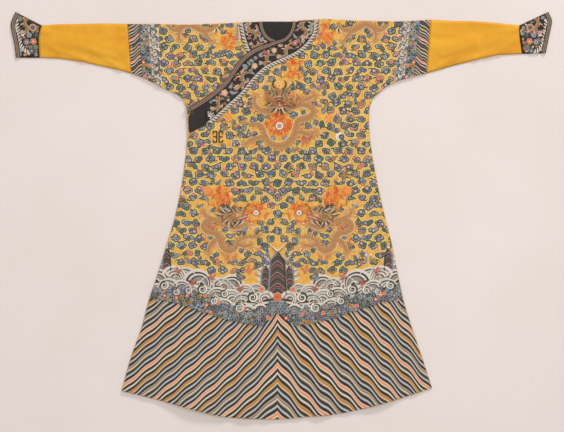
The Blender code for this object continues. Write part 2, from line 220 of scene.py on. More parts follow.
# %% Ridges
def ridges(table, across, down):
    """The height of the ridges in a table, summed."""
    total = np.zeros_like(across)
    for x0, y0, x1, y1, half, first, last in table:
        length = math.hypot(x1 - x0, y1 - y0)
        along = ((across - x0) * (x1 - x0) + (down - y0) * (y1 - y0)) / length
        aside = np.abs((across - x0) * (y1 - y0) - (down - y0) * (x1 - x0)) / length
        past = np.maximum(np.maximum(-along, along - length), 0.0)
        away = np.hypot(aside, past) / half
        total += (first + (last - first) * eased(along / length)) * (1 - eased(away))
    return total

# %% One map of heights for each layer
map_across, map_down = np.meshgrid(
    MAP_LEFT + MAP_STEP * np.arange(MAP_COLUMNS), MAP_TOP + MAP_STEP * np.arange(MAP_ROWS)
)
PUCKER = 0.16  # the pull of the stitches, in millimetres
waver_across = np.sin(map_across / 17 + 1.3 * np.sin(map_down / 43))
waver_down = np.sin(map_down / 21 + 1.1 * np.sin(map_across / 37))
pucker = PUCKER * (1.5 + waver_across * waver_down)
front_map = ridges(FOLDS, map_across, map_down) + ridges(CREASES, map_across, map_down) + pucker
LIES = {
    "flat": np.zeros_like(front_map),
    "inner": front_map,
    "outer": front_map - LAYER_DROP * eased(map_across / LAYER_EASE),
}


def lie_at(lie, across, down):
    """Height of a layer's folds at plan points, read between the points of its map."""
    u = np.clip((np.asarray(across, float) - MAP_LEFT) / MAP_STEP, 0, MAP_COLUMNS - 1.001)
    v = np.clip((np.asarray(down, float) - MAP_TOP) / MAP_STEP, 0, MAP_ROWS - 1.001)
    i, j = u.astype(int), v.astype(int)
    u, v = u - i, v - j
    heights = LIES[lie]
    top = heights[j, i] * (1 - u) + heights[j, i + 1] * u
    low = heights[j + 1, i] * (1 - u) + heights[j + 1, i + 1] * u
    return top * (1 - v) + low * v


print(f"folds rise to {front_map.max():.1f} mm")

# %% [markdown]
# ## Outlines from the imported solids
# The cut of a piece is the rim of its upward faces. Reading it from the frame keeps the cloth exactly where
# the solid is. The solids have straight edges a few centimetres long, so the outline is drawn again as a
# smooth curve through the same points, and only real corners stay sharp.

# %% Outlines
CORNER = math.radians(34)


def outline_of(node):
    """The plan outline of a CAD node, in order, from the rim of its upward faces."""
    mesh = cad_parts[node].data
    mesh.calc_loop_triangles()
    points = np.array([v.co for v in mesh.vertices])
    faces = np.array([t.vertices for t in mesh.loop_triangles])
    _, first, index = np.unique(np.round(points / 2e-5), axis=0, return_index=True, return_inverse=True)
    points, faces = points[first], index.reshape(-1)[faces]
    normal = crossed(points, faces)
    up = faces[normal[:, 2] > 0.5 * np.linalg.norm(normal, axis=1)]
    edges = {(int(f[k]), int(f[(k + 1) % 3])) for f in up for k in range(3)}
    following = {i: j for i, j in edges if (j, i) not in edges}
    loops = []
    while following:
        start, at = following.popitem()
        loop = [start]
        while at != start and at in following:
            loop.append(at)
            at = following.pop(at)
        loops.append(loop)
    return in_plan(points[max(loops, key=len)])[:, :2]


def corners_of(outline):
    """The numbers of the points where the outline turns sharply, or of one point if it never does."""
    before, after = np.roll(outline, 1, 0) - outline, np.roll(outline, -1, 0) - outline
    between = np.arctan2(before[:, 1], before[:, 0]) - np.arctan2(after[:, 1], after[:, 0])
    turn = np.pi - np.abs((between + np.pi) % (2 * np.pi) - np.pi)
    sharp = np.flatnonzero(turn > CORNER)
    return sharp if len(sharp) else np.array([0])


def smoothed(outline, step):
    """The outline as a smooth closed curve with a point about every step, its corners kept."""
    count, sharp = len(outline), corners_of(outline)
    found = []
    for k, start in enumerate(sharp):
        end = sharp[(k + 1) % len(sharp)]
        stretch = (end - start - 1) % count + 1
        run = outline[(start + np.arange(stretch + 1)) % count]
        found.append(flowing(run, step)[:-1])
    return np.vstack(found)

# %% Points and outlines
def inside(outline, points):
    """Whether each point lies in the outline."""
    x, y = points[:, 0], points[:, 1]
    within = np.zeros(len(points), bool)
    for (x0, y0), (x1, y1) in zip(outline, np.roll(outline, -1, 0)):
        if y0 != y1:
            within ^= ((y0 > y) != (y1 > y)) & (x < x0 + (x1 - x0) * (y - y0) / (y1 - y0))
    return within


def nearest_on(outline, points):
    """The nearest point of the outline to each point, and how far off it is."""
    best = np.full(len(points), np.inf)
    spot = np.zeros_like(points)
    for p, q in zip(outline, np.roll(outline, -1, 0)):
        along = q - p
        share = np.clip(((points - p) @ along) / max(along @ along, 1e-9), 0, 1)[:, None]
        found = p + share * along
        away = np.hypot(*(points - found).T)
        closer = away < best
        best[closer] = away[closer]
        spot[closer] = found[closer]
    return spot, best


# %% [markdown]
# ## Materials
# Every colour is an sRGB hex value, as a dyer's card would give it, and one function turns it into the
# linear numbers that the shaders use.

# %% Colours and nodes
def linear(hex_colour):
    """The linear RGBA of an sRGB hex colour."""
    parts = (int(hex_colour[k:k + 2], 16) / 255 for k in (1, 3, 5))
    return (*(c / 12.92 if c <= 0.04045 else ((c + 0.055) / 1.055) ** 2.4 for c in parts), 1.0)


def add_node(tree, kind, inputs=None, **settings):
    """A node with its settings, and its sockets filled by a value or by a link."""
    made = tree.nodes.new(kind)
    for name, value in settings.items():
        setattr(made, name, value)
    for socket, value in (inputs or {}).items():
        if isinstance(value, bpy.types.NodeSocket):
            tree.links.new(value, made.inputs[socket])
        else:
            made.inputs[socket].default_value = value
    return made


def start_material(name, sockets):
    """A material with its shader, the values that are the same all over set on the shader's own sockets."""
    made = bpy.data.materials.new(name)
    made.use_nodes = True
    shader = made.node_tree.nodes["Principled BSDF"]
    for socket, value in sockets.items():
        shader.inputs[socket].default_value = value
    return made, made.node_tree, shader

# %% Textures, ranges and bumps
def texture(tree, kind, inputs, **settings):
    """The grey value of a texture that is laid out in the object's own metres."""
    place = add_node(tree, "ShaderNodeTexCoord").outputs["Object"]
    return add_node(tree, f"ShaderNodeTex{kind}", {"Vector": place, **inputs}, **settings).outputs["Fac"]


def ranged(tree, value, first, last, top=1.0):
    """A value from nought to top, stretched to go from first to last."""
    ends = {"Value": value, "From Max": top, "To Min": first, "To Max": last}
    return add_node(tree, "ShaderNodeMapRange", ends).outputs[0]


def ramped(tree, value, stops):
    """The colour that a value picks from stops: (place, hex colour)."""
    made = add_node(tree, "ShaderNodeValToRGB", {"Fac": value})
    elements = made.color_ramp.elements
    while len(elements) > 1:
        elements.remove(elements[-1])
    for k, (place, colour) in enumerate(stops):
        element = elements[0] if k == 0 else elements.new(place)
        element.position = place
        element.color = linear(colour)
    return made.outputs["Color"]


def raised(tree, value, strength, depth_mm):
    """The bump of a value, with its depth in millimetres."""
    bump = {"Height": value, "Strength": strength, "Distance": depth_mm * MM}
    return add_node(tree, "ShaderNodeBump", bump).outputs[0]


# %% [markdown]
# ## Silk satin
# Satin shows long warp floats, so it is smooth and glossy along the warp and slightly ribbed across it.
# Real threads are about 0.15 mm apart, too fine to see from above, so the ribs are drawn 2.4 mm apart. Dye
# takes unevenly, and handling dulls the cloth, so the colour drifts a little in soft clouds.

# %% Silk satin
WAVE_TURN = 1000 * 2 * math.pi / 20  # the wave texture's scale that gives bands a millimetre apart
SLUB_MM, RIB_DEPTH_MM = 9.0, 0.12


def satin(name, shades, rib_mm=2.4, roughness=(0.38, 0.52), sheen=0.08, drift_mm=150.0):
    """Woven satin: shades from dark to light over soft clouds, with ribs across the warp and painted shade
    between them.
    """
    made, tree, shader = start_material(
        name, {"Sheen Weight": sheen, "Sheen Roughness": 0.4, "Specular IOR Level": 0.22}
    )
    clouds = texture(tree, "Noise", {"Scale": 1000 / drift_mm, "Detail": 4.0, "Roughness": 0.6})
    colour = ramped(tree, clouds, zip((0.32, 0.5, 0.68), shades))
    ribs = texture(
        tree, "Wave", {"Scale": WAVE_TURN / rib_mm, "Distortion": 1.5, "Detail": 2.0, "Detail Scale": 2.0},
        bands_direction="Y",
    )
    slubs = texture(tree, "Noise", {"Scale": 1000 / SLUB_MM, "Detail": 3.0})
    # worn is the ribs times the slubs, and it also drives the bump. The colour is darker where it is low:
    # painted shade in the hollows between the ribs and slubs.
    worn = add_node(tree, "ShaderNodeMath", {0: ribs, 1: slubs}, operation="MULTIPLY").outputs[0]
    rib_shade_inputs = {0: colour, "Scale": ranged(tree, worn, 0.9, 1.06, 0.6)}
    colour_with_rib_shade = add_node(tree, "ShaderNodeVectorMath", rib_shade_inputs, operation="SCALE").outputs[0]
    tree.links.new(colour_with_rib_shade, shader.inputs["Base Color"])
    tree.links.new(ranged(tree, clouds, *roughness), shader.inputs["Roughness"])
    tree.links.new(raised(tree, worn, 0.35, RIB_DEPTH_MM), shader.inputs["Normal"])
    return made

# %% The satins of this robe
YELLOW_SATIN = satin("yellow_satin_woven", ("#D79849", "#E4AC44", "#EBBD6C"), drift_mm=14.0)
PLAIN_SATIN = satin("plain_yellow_satin_woven", ("#DB951A", "#E4A223", "#EBAF2D"), roughness=(0.36, 0.48))
DARK_SATIN = satin("dark_satin_woven", ("#241D1B", "#2B2421", "#322A27"), sheen=0.05)
BINDING_SATIN = satin("brown_satin_binding", ("#5D4B41", "#6B584C", "#7A675A"), 3.2, (0.5, 0.64))
BRAID_SATIN = satin("slate_satin_braid", ("#4A4843", "#5A5751", "#6A665F"), roughness=(0.5, 0.6))
LINING_SATIN = satin("dark_lining_woven", ("#211E1D", "#292523", "#302B28"), roughness=(0.5, 0.62))
BACKED_SATIN = satin("yellow_satin_reverse", ("#D99B2A", "#E1A733", "#E7B13F"), roughness=(0.5, 0.62))
print("satins:", len(bpy.data.materials))

# %% [markdown]
# ## Cloth as a thin shell
# A cut piece of silk is a shell: an upper and an under side that meet in a rounded edge, where the cloth is
# turned in. The outline is filled with a fine grid of points, each one set at the height that the map of
# folds gives it. Both sides get a flat layout, side by side, so that a baked picture keeps them apart.

# %% Cloth shells
EDGE_ROLL = 2.2


def add_piece(name, points, faces, finishes, kinds=None, under=None):
    """A mesh object from arrays in metres, riding on the robe, with a flat layout seen from above."""
    points, faces = np.asarray(points, np.float32), np.asarray(faces, np.int32)
    mesh = bpy.data.meshes.new(name)
    mesh.vertices.add(len(points))
    mesh.vertices.foreach_set("co", points.ravel())
    mesh.loops.add(faces.size)
    mesh.loops.foreach_set("vertex_index", faces.ravel())
    mesh.polygons.add(len(faces))
    mesh.polygons.foreach_set("loop_start", np.arange(0, faces.size, 3, dtype=np.int32))
    for finish in finishes:
        mesh.materials.append(finish)
    if kinds is not None:
        mesh.polygons.foreach_set("material_index", np.asarray(kinds, np.int32))
    mesh.polygons.foreach_set("use_smooth", np.full(len(faces), True))
    mesh.update(calc_edges=True)
    plan = points[faces.ravel(), :2]
    low = plan.min(0)
    wide, high = plan.max(0) - low
    layout = plan - low
    if under is not None:
        aside = np.repeat(np.asarray(under), 3)
        if wide < high:
            layout[aside, 0] += wide
            wide *= 2
        else:
            layout[aside, 1] += high
            high *= 2
    layout = layout / max(wide, high)
    mesh.uv_layers.new(name="OFBake").data.foreach_set("uv", layout.astype(np.float32).ravel())
    piece = bpy.data.objects.new(name, mesh)
    bpy.context.scene.collection.objects.link(piece)
    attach(piece, "root")
    return piece

# %% Filling an outline
def filled(outline, step):
    """Plan points and triangles that fill an outline, its own points first, and how deep each one lies."""
    rim = smoothed(outline, step * 0.8)
    low, high = rim.min(0), rim.max(0)
    grid = np.stack(np.meshgrid(np.arange(low[0], high[0], step), np.arange(low[1], high[1], step)), -1)
    grid = grid.reshape(-1, 2)
    grid = grid[inside(rim, grid)]
    grid = grid[nearest_on(rim, grid)[1] > EDGE_ROLL + 0.45 * step]
    along = np.roll(rim, -1, 0) - np.roll(rim, 1, 0)
    along /= np.maximum(np.hypot(*along.T), 1e-9)[:, None]
    for side in (1, -1):
        ring = rim + side * EDGE_ROLL * np.stack([-along[:, 1], along[:, 0]], 1)
        if inside(rim, ring).mean() > 0.5:
            break
    ring = ring[inside(rim, ring)]
    ring = ring[nearest_on(rim, ring)[1] > 0.8 * EDGE_ROLL]
    points = np.vstack([rim, ring, grid])
    count = len(rim)
    edges = [(k, (k + 1) % count) for k in range(count)]
    made = delaunay_2d_cdt([Vector(p) for p in points.tolist()], edges, [], 0, 1e-3)
    plan = np.array([tuple(v) for v in made[0]])
    faces = np.array(made[2])
    faces = faces[inside(rim, plan[faces].mean(1))]
    faces, solid = turned_up(plan, faces, 1e-4)
    depth = nearest_on(rim, plan)[1]
    depth[:count] = 0.0
    return plan, faces[solid], depth

# %% Cut pieces
def add_cloth(node, level, lie, finish, step=8.0, wall=WALL, under_finish=None):
    """A cut piece of cloth on its solid's form, which it replaces, with its size and area."""
    plan, faces, depth = filled(outline_of(node), step)
    rolled = wall / 2 * (1 - eased(depth / EDGE_ROLL) ** 0.5)
    folds = lie_at(lie, plan[:, 0], plan[:, 1])
    top = level + wall - rolled + folds
    low = level + rolled + folds
    rim = depth < 1e-6
    number = np.arange(len(plan))
    under_number = np.where(rim, number, 0)
    under_number[~rim] = len(plan) + np.arange((~rim).sum())
    points = np.vstack([
        in_frame(plan[:, 0], plan[:, 1], top), in_frame(plan[~rim, 0], plan[~rim, 1], low[~rim])
    ])
    under = under_number[faces][:, ::-1]
    kinds = np.repeat([0, 1], len(faces))
    finishes = [finish, under_finish or finish]
    piece = add_piece(f"{node}_cloth", points, np.vstack([faces, under]), finishes, kinds, kinds.astype(bool))
    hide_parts(node)
    size = np.ptp(plan, axis=0) * MM
    area = np.abs(crossed(plan, faces)).sum() / 2 * MM**2
    print(f"{node}: {len(faces) * 2} triangles, {size[0]:.3f} x {size[1]:.3f} m, {area:.3f} m2")
    return piece, size, area


def declare(piece, size, area, rests_on, slot, with_pieces=()):
    """Takes a laid sheet with its plan size, area, support, slot and carried pieces, and records none of
    them.
    """
    list(with_pieces)
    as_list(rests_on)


# %% [markdown]
# ## The backs and the fronts
# Each half of the robe is one length of silk that runs from the back hem over the shoulder to the front
# hem, cut in one with its upper sleeve. The backs lie underneath, face down, with the dark lining up: it
# shows in the neck. The right front lies under the left one, which is seamed to the overlap in the middle.

# %% Backs and fronts
INNER_LEVEL, OUTER_LEVEL = 1.8, 3.6
BACK_STEP, INNER_STEP = 16.0, 9.0
BACKS = []
for node in ("back_right", "back_left"):
    piece, *cut = add_cloth(node, 0.0, "flat", LINING_SATIN, BACK_STEP, under_finish=YELLOW_SATIN)
    declare(piece, *cut, [], "worked_silk")
    BACKS.append(piece)
front_inner, *inner_cut = add_cloth(
    "front_inner", INNER_LEVEL, "inner", YELLOW_SATIN, INNER_STEP, under_finish=BACKED_SATIN
)
front_overlap, *overlap_cut = add_cloth(
    "front_overlap", OUTER_LEVEL, "outer", YELLOW_SATIN, under_finish=BACKED_SATIN
)
front_left, *left_cut = add_cloth(
    "front_left", OUTER_LEVEL, "outer", YELLOW_SATIN, under_finish=BACKED_SATIN
)
FRONT_SHEETS = {  # a sheet that carries needlework is kept here until its needlework is made
    "front_inner": (front_inner, *inner_cut, [BACKS[0]], "worked_silk"),
    "front_overlap": (front_overlap, *overlap_cut, [front_inner], "worked_silk"),
    "front_left": (front_left, *left_cut, [BACKS[1]], "worked_silk"),
}

# %% [markdown]
# ## Sleeves and cuffs
# A sleeve laid flat is a tube pressed down: an upper and a lower layer, rounded at the fold on top and at
# the seam below. It is lofted between straight sections along the arm, with an outer and an inner skin that
# meet at both open ends. The cuffs widen to the shape of a horse's hoof, which is how this kind of sleeve
# got its name.

# %% Sleeves and cuffs
WORKED_SHEETS = {}  # the cuffs and trims, kept for the same reason as the fronts
SLEEVES = {  # sections, body seam first: across and down at the fold, then at the seam below
    "right": ((-537, 9, -524, 186), (-580, 8, -570, 174), (-620, 7, -618, 163), (-700, 9, -700, 145),
              (-780, 10, -780, 133)),
    "left": ((548, -7, 533, 186), (590, -4, 580, 173), (625, -2, 622, 160), (700, -1, 700, 141),
             (785, 5, 785, 121)),
}
CUFF_SEAMS = {  # where the plain sleeve ends, from the fold to the seam below
    "right": ((-844, 14), (-851, 37), (-855, 64), (-854, 95), (-852, 130)),
    "left": ((866, 14), (865, 38), (867, 64), (871, 90), (875, 116)),
}
CUFF_ENDS = {
    "right": ((-938, -34), (-954, 6), (-950, 42), (-941, 84), (-936, 130)),
    "left": ((969, -34), (982, -2), (977, 30), (969, 68), (960, 114)),
}
TUBE_TOP = 3.3
TUBE_WALL = 1.45
TUBE_TURN = 7.0  # how far in from the fold the cloth is still rounding over
SECTION_POINTS, CUFF_SECTIONS = 25, 14
ARM_STEP, SEAM_GAP = 8.0, 0.3

# %% A flattened tube
def evenly(points, count):
    """The curve through the points, as this many points."""
    fine = flowing(points, 1.0)
    return fine[np.round(np.linspace(0, len(fine) - 1, count)).astype(int)]


def section_rings(section, wall):
    """Heights round one section of the tube: along the top from the fold, then back underneath."""
    edge = np.minimum(np.hypot(*(section - section[0]).T), np.hypot(*(section - section[-1]).T))
    round_over = np.sqrt(1 - (1 - np.clip(edge / TUBE_TURN, 0, 1)) ** 2)
    middle = TUBE_TOP / 2
    folds = lie_at("inner", section[:, 0], section[:, 1]) * round_over
    top = middle + (middle - wall) * round_over + folds
    low = middle - (middle - wall) * round_over
    ring = np.vstack([section, section[-2:0:-1]])
    heights = np.concatenate([top, low[-2:0:-1]])
    return in_frame(ring[:, 0], ring[:, 1], heights)

# %% A tube through its sections
def add_tube(node, sections, finish):
    """A flattened tube of cloth, open at both ends, lofted through its sections."""
    inner = []
    for section in sections:
        inward = (section[-1] - section[0]) / np.hypot(*(section[-1] - section[0]))
        shares = np.linspace(1, -1, len(section))[:, None]
        inner.append(section + inward * shares * TUBE_WALL)
    skins = [
        np.array([section_rings(line, wall) for line in lines])
        for lines, wall in ((sections, 0.0), (inner, TUBE_WALL))
    ]
    rows, count = skins[0].shape[:2]
    points = np.vstack([skin.reshape(-1, 3) for skin in skins])
    outer = ring_faces(rows, count)
    inside_skin = outer[:, ::-1] + rows * count
    at = np.arange(count)
    after = (at + 1) % count
    first, last = rows * count, (rows - 1) * count
    ends = np.vstack([
        halved(at, at + first, after + first, after),
        halved(at + last, after + last, after + last + first, at + last + first),
    ])
    faces = np.vstack([outer, inside_skin, ends])
    low_side = points[faces].mean(1)[:, 2] < TUBE_TOP / 2 * MM
    normal = crossed(points, faces)
    upper = np.arange(len(faces)) < len(outer)
    if (normal[upper & ~low_side, 2] < 0).mean() > 0.5:
        faces = faces[:, ::-1]
    piece = add_piece(f"{node}_cloth", points, faces, [finish], under=low_side)
    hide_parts(node)
    long = float(np.hypot(*(sections[0].mean(0) - sections[-1].mean(0)))) * MM
    round_it = 2 * max(float(np.hypot(*(s[0] - s[-1]))) for s in sections) * MM
    area = np.linalg.norm(normal[upper], axis=1).sum() / 2
    print(f"{node}: {len(faces)} triangles, cut {round_it:.3f} x {long:.3f} m, {area:.3f} m2")
    return piece, (round_it, long), min(area, round_it * long)


def between(first, last, count):
    """Sections from the first to the last, evenly spaced."""
    return [first + (last - first) * k / (count - 1) for k in range(count)]

# %% Both arms
for side, sign in (("right", -1), ("left", 1)):
    straight = [np.linspace((x0, y0), (x1, y1), SECTION_POINTS) for x0, y0, x1, y1 in SLEEVES[side]]
    seam, end = evenly(CUFF_SEAMS[side], SECTION_POINTS), evenly(CUFF_ENDS[side], SECTION_POINTS)
    rows = [straight[0] + (sign * SEAM_GAP, 0), *straight[1:], seam - (sign * SEAM_GAP, 0)]
    sleeve_sections = []
    for a, b in zip(rows, rows[1:]):
        count = max(2, int(round(abs(b[0][0] - a[0][0]) / ARM_STEP)) + 1)
        sleeve_sections += between(a, b, count)[:-1]
    sleeve_sections.append(rows[-1])
    piece, *cut = add_tube(f"sleeve_{side}", sleeve_sections, PLAIN_SATIN)
    declare(piece, *cut, [], "plain_silk")
    piece, *cut = add_tube(f"cuff_{side}", between(seam, end, CUFF_SECTIONS), DARK_SATIN)
    WORKED_SHEETS[f"cuff_{side}"] = (piece, *cut, [], "dark_worked_silk")

# %% [markdown]
# ## Collar, bindings and block
# The collar band is dark embroidered satin. A brown satin strip, cut on the bias so that it follows the
# curve, binds the raw edge of the neck, the overlap and the cuffs. Under the arm the overlap ends in a
# plain dark block. Each of them is a narrower shell lying on the front that carries it.

# %% Collar, bindings and block
TRIM_LEVELS = {"outer": 5.4, "inner": 3.6, "flat": 3.6}  # the under side, by the layer that carries it
TRIM_STEP = 5.0
TRIMS = (  # node, layer, finish, slot, what it lies on
    ("collar_outer", "outer", DARK_SATIN, "dark_worked_silk", front_overlap),
    ("collar_inner", "inner", DARK_SATIN, "dark_worked_silk", front_inner),
    ("overlap_block", "outer", DARK_SATIN, "dark_satin", front_overlap),
    ("binding_outer", "outer", BINDING_SATIN, "brown_binding", front_overlap),
    ("binding_inner", "inner", BINDING_SATIN, "brown_binding", front_inner),
    ("braid_outer", "outer", BRAID_SATIN, "twist_braid", front_overlap),
    ("braid_inner", "inner", BRAID_SATIN, "twist_braid", front_inner),
    ("cuff_binding_right", "flat", BINDING_SATIN, "brown_binding", "cuff_right_cloth"),
    ("cuff_binding_left", "flat", BINDING_SATIN, "brown_binding", "cuff_left_cloth"),
)
for node, lie, finish, slot_name, carrier in TRIMS:
    piece, size, area = add_cloth(node, TRIM_LEVELS[lie], lie, finish, TRIM_STEP, TRIM_WALL)
    rim = outline_of(node) * MM
    half_round = np.hypot(*(rim - np.roll(rim, 1, 0)).T).sum() / 2
    spread = half_round**2 - 4 * area
    if spread > 0:  # a strip cut straight and eased round the curve: its width and length
        size = ((half_round - math.sqrt(spread)) / 2, (half_round + math.sqrt(spread)) / 2)
    WORKED_SHEETS[node] = (piece, size, min(area, size[0] * size[1]), [carrier], slot_name)

# %% [markdown]
# ## Needlework
# The pattern is worked in flat silk floss. Long stitches lie side by side in satin stitch, so each shape
# stands a little proud of the cloth, with a soft edge where the stitches go down. Here each shape is a thin
# shell of its own: its rim dips just under the cloth, and its middle rises by about half a millimetre, or
# by more where shapes are worked over each other, as on a dragon's padded head. The shapes are drawn in
# plan, collected, cut off at the edge of the cloth and laid on its folds.

# %% Threads
FLOSS = {
    "slate": "#464840", "ink": "#302E29", "steel": "#74828E", "mist": "#A2A2A0", "ice": "#BFBCB4",
    "teal": "#5B7468", "moss": "#7C8258", "violet": "#8A7E92", "rim": "#EACF8C", "cream": "#E3D0A8",
    "white": "#E6DDCD", "pearl": "#D4CABC", "ash": "#918A80", "coral": "#D26A4A", "blush": "#DC9F84",
    "rose": "#BE5664", "orange": "#E06E2C", "amber": "#E8A24A", "ochre": "#AE8438", "gold": "#C29257",
    "ginger": "#A06C43", "umber": "#775640", "olive": "#75704A", "brown": "#6B4E42", "taupe": "#B09B87",
    "salmon": "#D98F70", "pine": "#33322B", "sky": "#B5BAB6", "bone": "#D3C9B8", "night": "#2C2929",
    "yolk": "#E2AC50", "lining": "#2B2725", "sedge": "#6C7060", "dove": "#8E867B", "fawn": "#B08A5C",
    "straw": "#E6CC6C", "flame": "#CC561E", "apricot": "#EDA858", "peach": "#E9BB86", "shell": "#E6B79B",
}
METAL_THREADS = ("gold", "ginger")
THREAD_NUMBER = {name: k for k, name in enumerate(FLOSS)}
STITCH_MM, STITCH_DEPTH_MM = 1.7, 0.2  # real floss lies 0.3 mm apart, which is too fine to see


def thread_material(name):
    """Satin-stitched floss, or gold thread laid down and couched, which is a little metallic."""
    metal = name in METAL_THREADS
    made, tree, shader = start_material(f"{name}_{'couched_gold_thread' if metal else 'silk_floss'}", {
        "Base Color": linear(FLOSS[name]), "Metallic": 0.25 if metal else 0.0, "Sheen Weight": 0.1,
        "Specular IOR Level": 0.25,
    })
    stitches = texture(
        tree, "Wave", {"Scale": WAVE_TURN / STITCH_MM, "Distortion": 6.0, "Detail": 1.0, "Detail Scale": 0.3},
        bands_direction="DIAGONAL",
    )
    tree.links.new(ranged(tree, stitches, 0.34, 0.56), shader.inputs["Roughness"])
    tree.links.new(raised(tree, stitches, 0.5, STITCH_DEPTH_MM), shader.inputs["Normal"])
    return made


THREAD_MATERIALS = {name: thread_material(name) for name in FLOSS}
print("threads:", len(THREAD_MATERIALS))

# %% Stitched shapes
SUNK = -0.12
RELIEF = 0.45


class Design:
    """Stitched shapes in plan millimetres: points, heights over the cloth, triangles and their threads."""

    def __init__(self):
        self.parts = []

    def add(self, points, heights, faces, threads):
        """One more shape, with the number of a thread for each of its triangles."""
        arrays = ((points, float), (heights, float), (faces, int), (threads, int))
        self.parts.append(tuple(np.asarray(values, kind) for values, kind in arrays))

    def merged(self):
        """All the shapes as one set of arrays."""
        if len(self.parts) > 1:
            points, heights, faces, threads = zip(*self.parts)
            starts = np.cumsum([0] + [len(part) for part in points[:-1]])
            faces = np.vstack([part + start for part, start in zip(faces, starts)])
            self.parts = [(np.vstack(points), np.concatenate(heights), faces, np.concatenate(threads))]
        return self.parts[0]

    def place(self, other, across, down, turn=0.0, size=1.0, flip=1):
        """Another design set down here: turned in degrees, sized, and mirrored where flip is -1."""
        points, heights, faces, threads = other.merged()
        x, y = points[:, 0] * flip * size, points[:, 1] * size
        cos, sin = heading(turn)
        self.add(np.stack([x * cos - y * sin + across, x * sin + y * cos + down], 1), heights, faces, threads)

    def keep_where(self, test):
        """Drops the triangles whose middle fails a test."""
        points, heights, faces, threads = self.merged()
        kept = test(points[faces].mean(1))
        self.parts = [(points, heights, faces[kept], threads[kept])]

# %% Patches and rings
def rows_sheet(design, rows, heights, threads):
    """A patch between rows of points: a height for each row, and a thread for each gap between two."""
    rows = np.asarray(rows, float)
    count, columns = rows.shape[:2]
    faces, row = sheet_faces(count, columns)
    kinds = np.array([THREAD_NUMBER[threads[r % len(threads)]] for r in row])
    design.add(rows.reshape(-1, 2), np.repeat(heights, columns), faces, np.tile(kinds, 2))


def banded(design, outline, bands, lift=0.0, relief=RELIEF, drift=(0.0, 0.0)):
    """Rings of stitches from an outline in to its centre: bands are (share of the way out, thread)."""
    outline = np.asarray(outline, float)
    centre = outline.mean(0)
    count = len(outline)
    rings, heights = [], []
    for k, (share, _) in enumerate(bands):
        rings.append(centre + np.asarray(drift) * (1 - share) + (outline - centre) * share)
        high = lift + relief * math.sqrt(max(1 - share**2, 0.1)) if k else max(lift - 0.3, SUNK)
        heights += [high] * count
    rings.append((centre + np.asarray(drift))[None])
    heights.append(lift + relief)
    at = np.arange(count)
    after = (at + 1) % count
    faces, threads = [], []
    for k, (_, thread) in enumerate(bands):
        here, there = k * count, (k + 1) * count
        if k < len(bands) - 1:
            faces.append(halved(here + at, here + after, there + after, there + at))
        else:
            faces.append(np.stack([here + at, here + after, np.full(count, there)], 1))
        threads.append(np.full(len(faces[-1]), THREAD_NUMBER[thread]))
    design.add(np.vstack(rings), heights, np.vstack(faces), np.concatenate(threads))


def round_outline(radius, count=14, wobble=0.0, phase=0.0, squash=1.0):
    """A circle, or a slightly uneven one, about the origin."""
    angle = np.linspace(0, 2 * np.pi, count, endpoint=False)
    reach = radius * (1 + wobble * np.sin(3 * angle + phase))
    return np.stack([reach * np.cos(angle), reach * np.sin(angle) * squash], 1)

# %% Bands and cords
def strip(design, line, half_width, profile, lift=0.0):
    """A band along a line. profile is (share across, height, thread to the next share) from side to side."""
    line = np.asarray(line, float)
    _, normal = directions(line)
    half = np.broadcast_to(half_width, len(line))
    columns = len(profile)
    shares = np.array([share for share, *_ in profile])
    points = line[:, None, :] + normal[:, None, :] * half[:, None, None] * shares[None, :, None]
    heights = np.array([[high if high < 0 else high + lift for _, high, _ in profile]] * len(line))
    faces, _ = sheet_faces(len(line), columns)
    threads = np.empty((len(line) - 1, columns - 1), int)
    for k, (_, _, thread) in enumerate(profile[:-1]):
        pair = (thread, thread) if isinstance(thread, str) else thread
        threads[:, k] = [THREAD_NUMBER[pair[(r + k) % len(pair)]] for r in range(len(line) - 1)]
    design.add(points.reshape(-1, 2), heights.ravel(), faces, np.tile(threads.ravel(), 2))


def cord(design, points, widths, thread, lift=0.0, step=5.0, relief=RELIEF):
    """A rounded line of stitches through a few points, its width flowing between the ones given."""
    line = flowing(points, step)
    shares = np.linspace(0, 1, len(line))
    half = np.interp(shares, np.linspace(0, 1, len(widths)), np.asarray(widths, float) / 2)
    edge = max(lift - 0.3, SUNK)
    strip(design, line, half, ((-1, edge, thread), (0, relief, thread), (1, edge, thread)), lift)


# %% [markdown]
# ## Laying the needlework on the cloth
# Embroidery stops at seams, under bands and at the turned edge. A region holds the cloth's outline and the
# outlines of what covers it. A point that falls outside is drawn back to the nearest edge, and a triangle
# that lies wholly outside is dropped, so a cloud at a seam ends in a clean cut, as on a robe whose panels
# were worked before they were sewn.

# %% Regions
CUT_BACK = 1.2
FAR_OUT = 14.0
STITCHED = {}


def region(outline, covers=(), inset=CUT_BACK):
    """Where needlework may lie: in an outline and outside the covers, by an inset from their edges."""
    return {"outline": outline, "covers": [smoothed(outline_of(c), 8.0) for c in covers], "inset": inset}


def drawn_back(points, where):
    """The points brought into a region, and how far each one moved."""
    points = points.copy()
    moved = np.zeros(len(points))
    for edge, wrong in [(cover, True) for cover in where["covers"]] + [(where["outline"], False)]:
        low, high = edge.min(0), edge.max(0)
        near = ((points > low) & (points < high)).all(1) if wrong else np.ones(len(points), bool)
        chosen = np.flatnonzero(near)
        chosen = chosen[inside(edge, points[chosen]) == wrong]
        if not len(chosen):
            continue
        spot, away = nearest_on(edge, points[chosen])
        points[chosen] = spot + (spot - points[chosen]) / np.maximum(away, 1e-6)[:, None] * where["inset"]
        moved[chosen] += away
    return points, moved

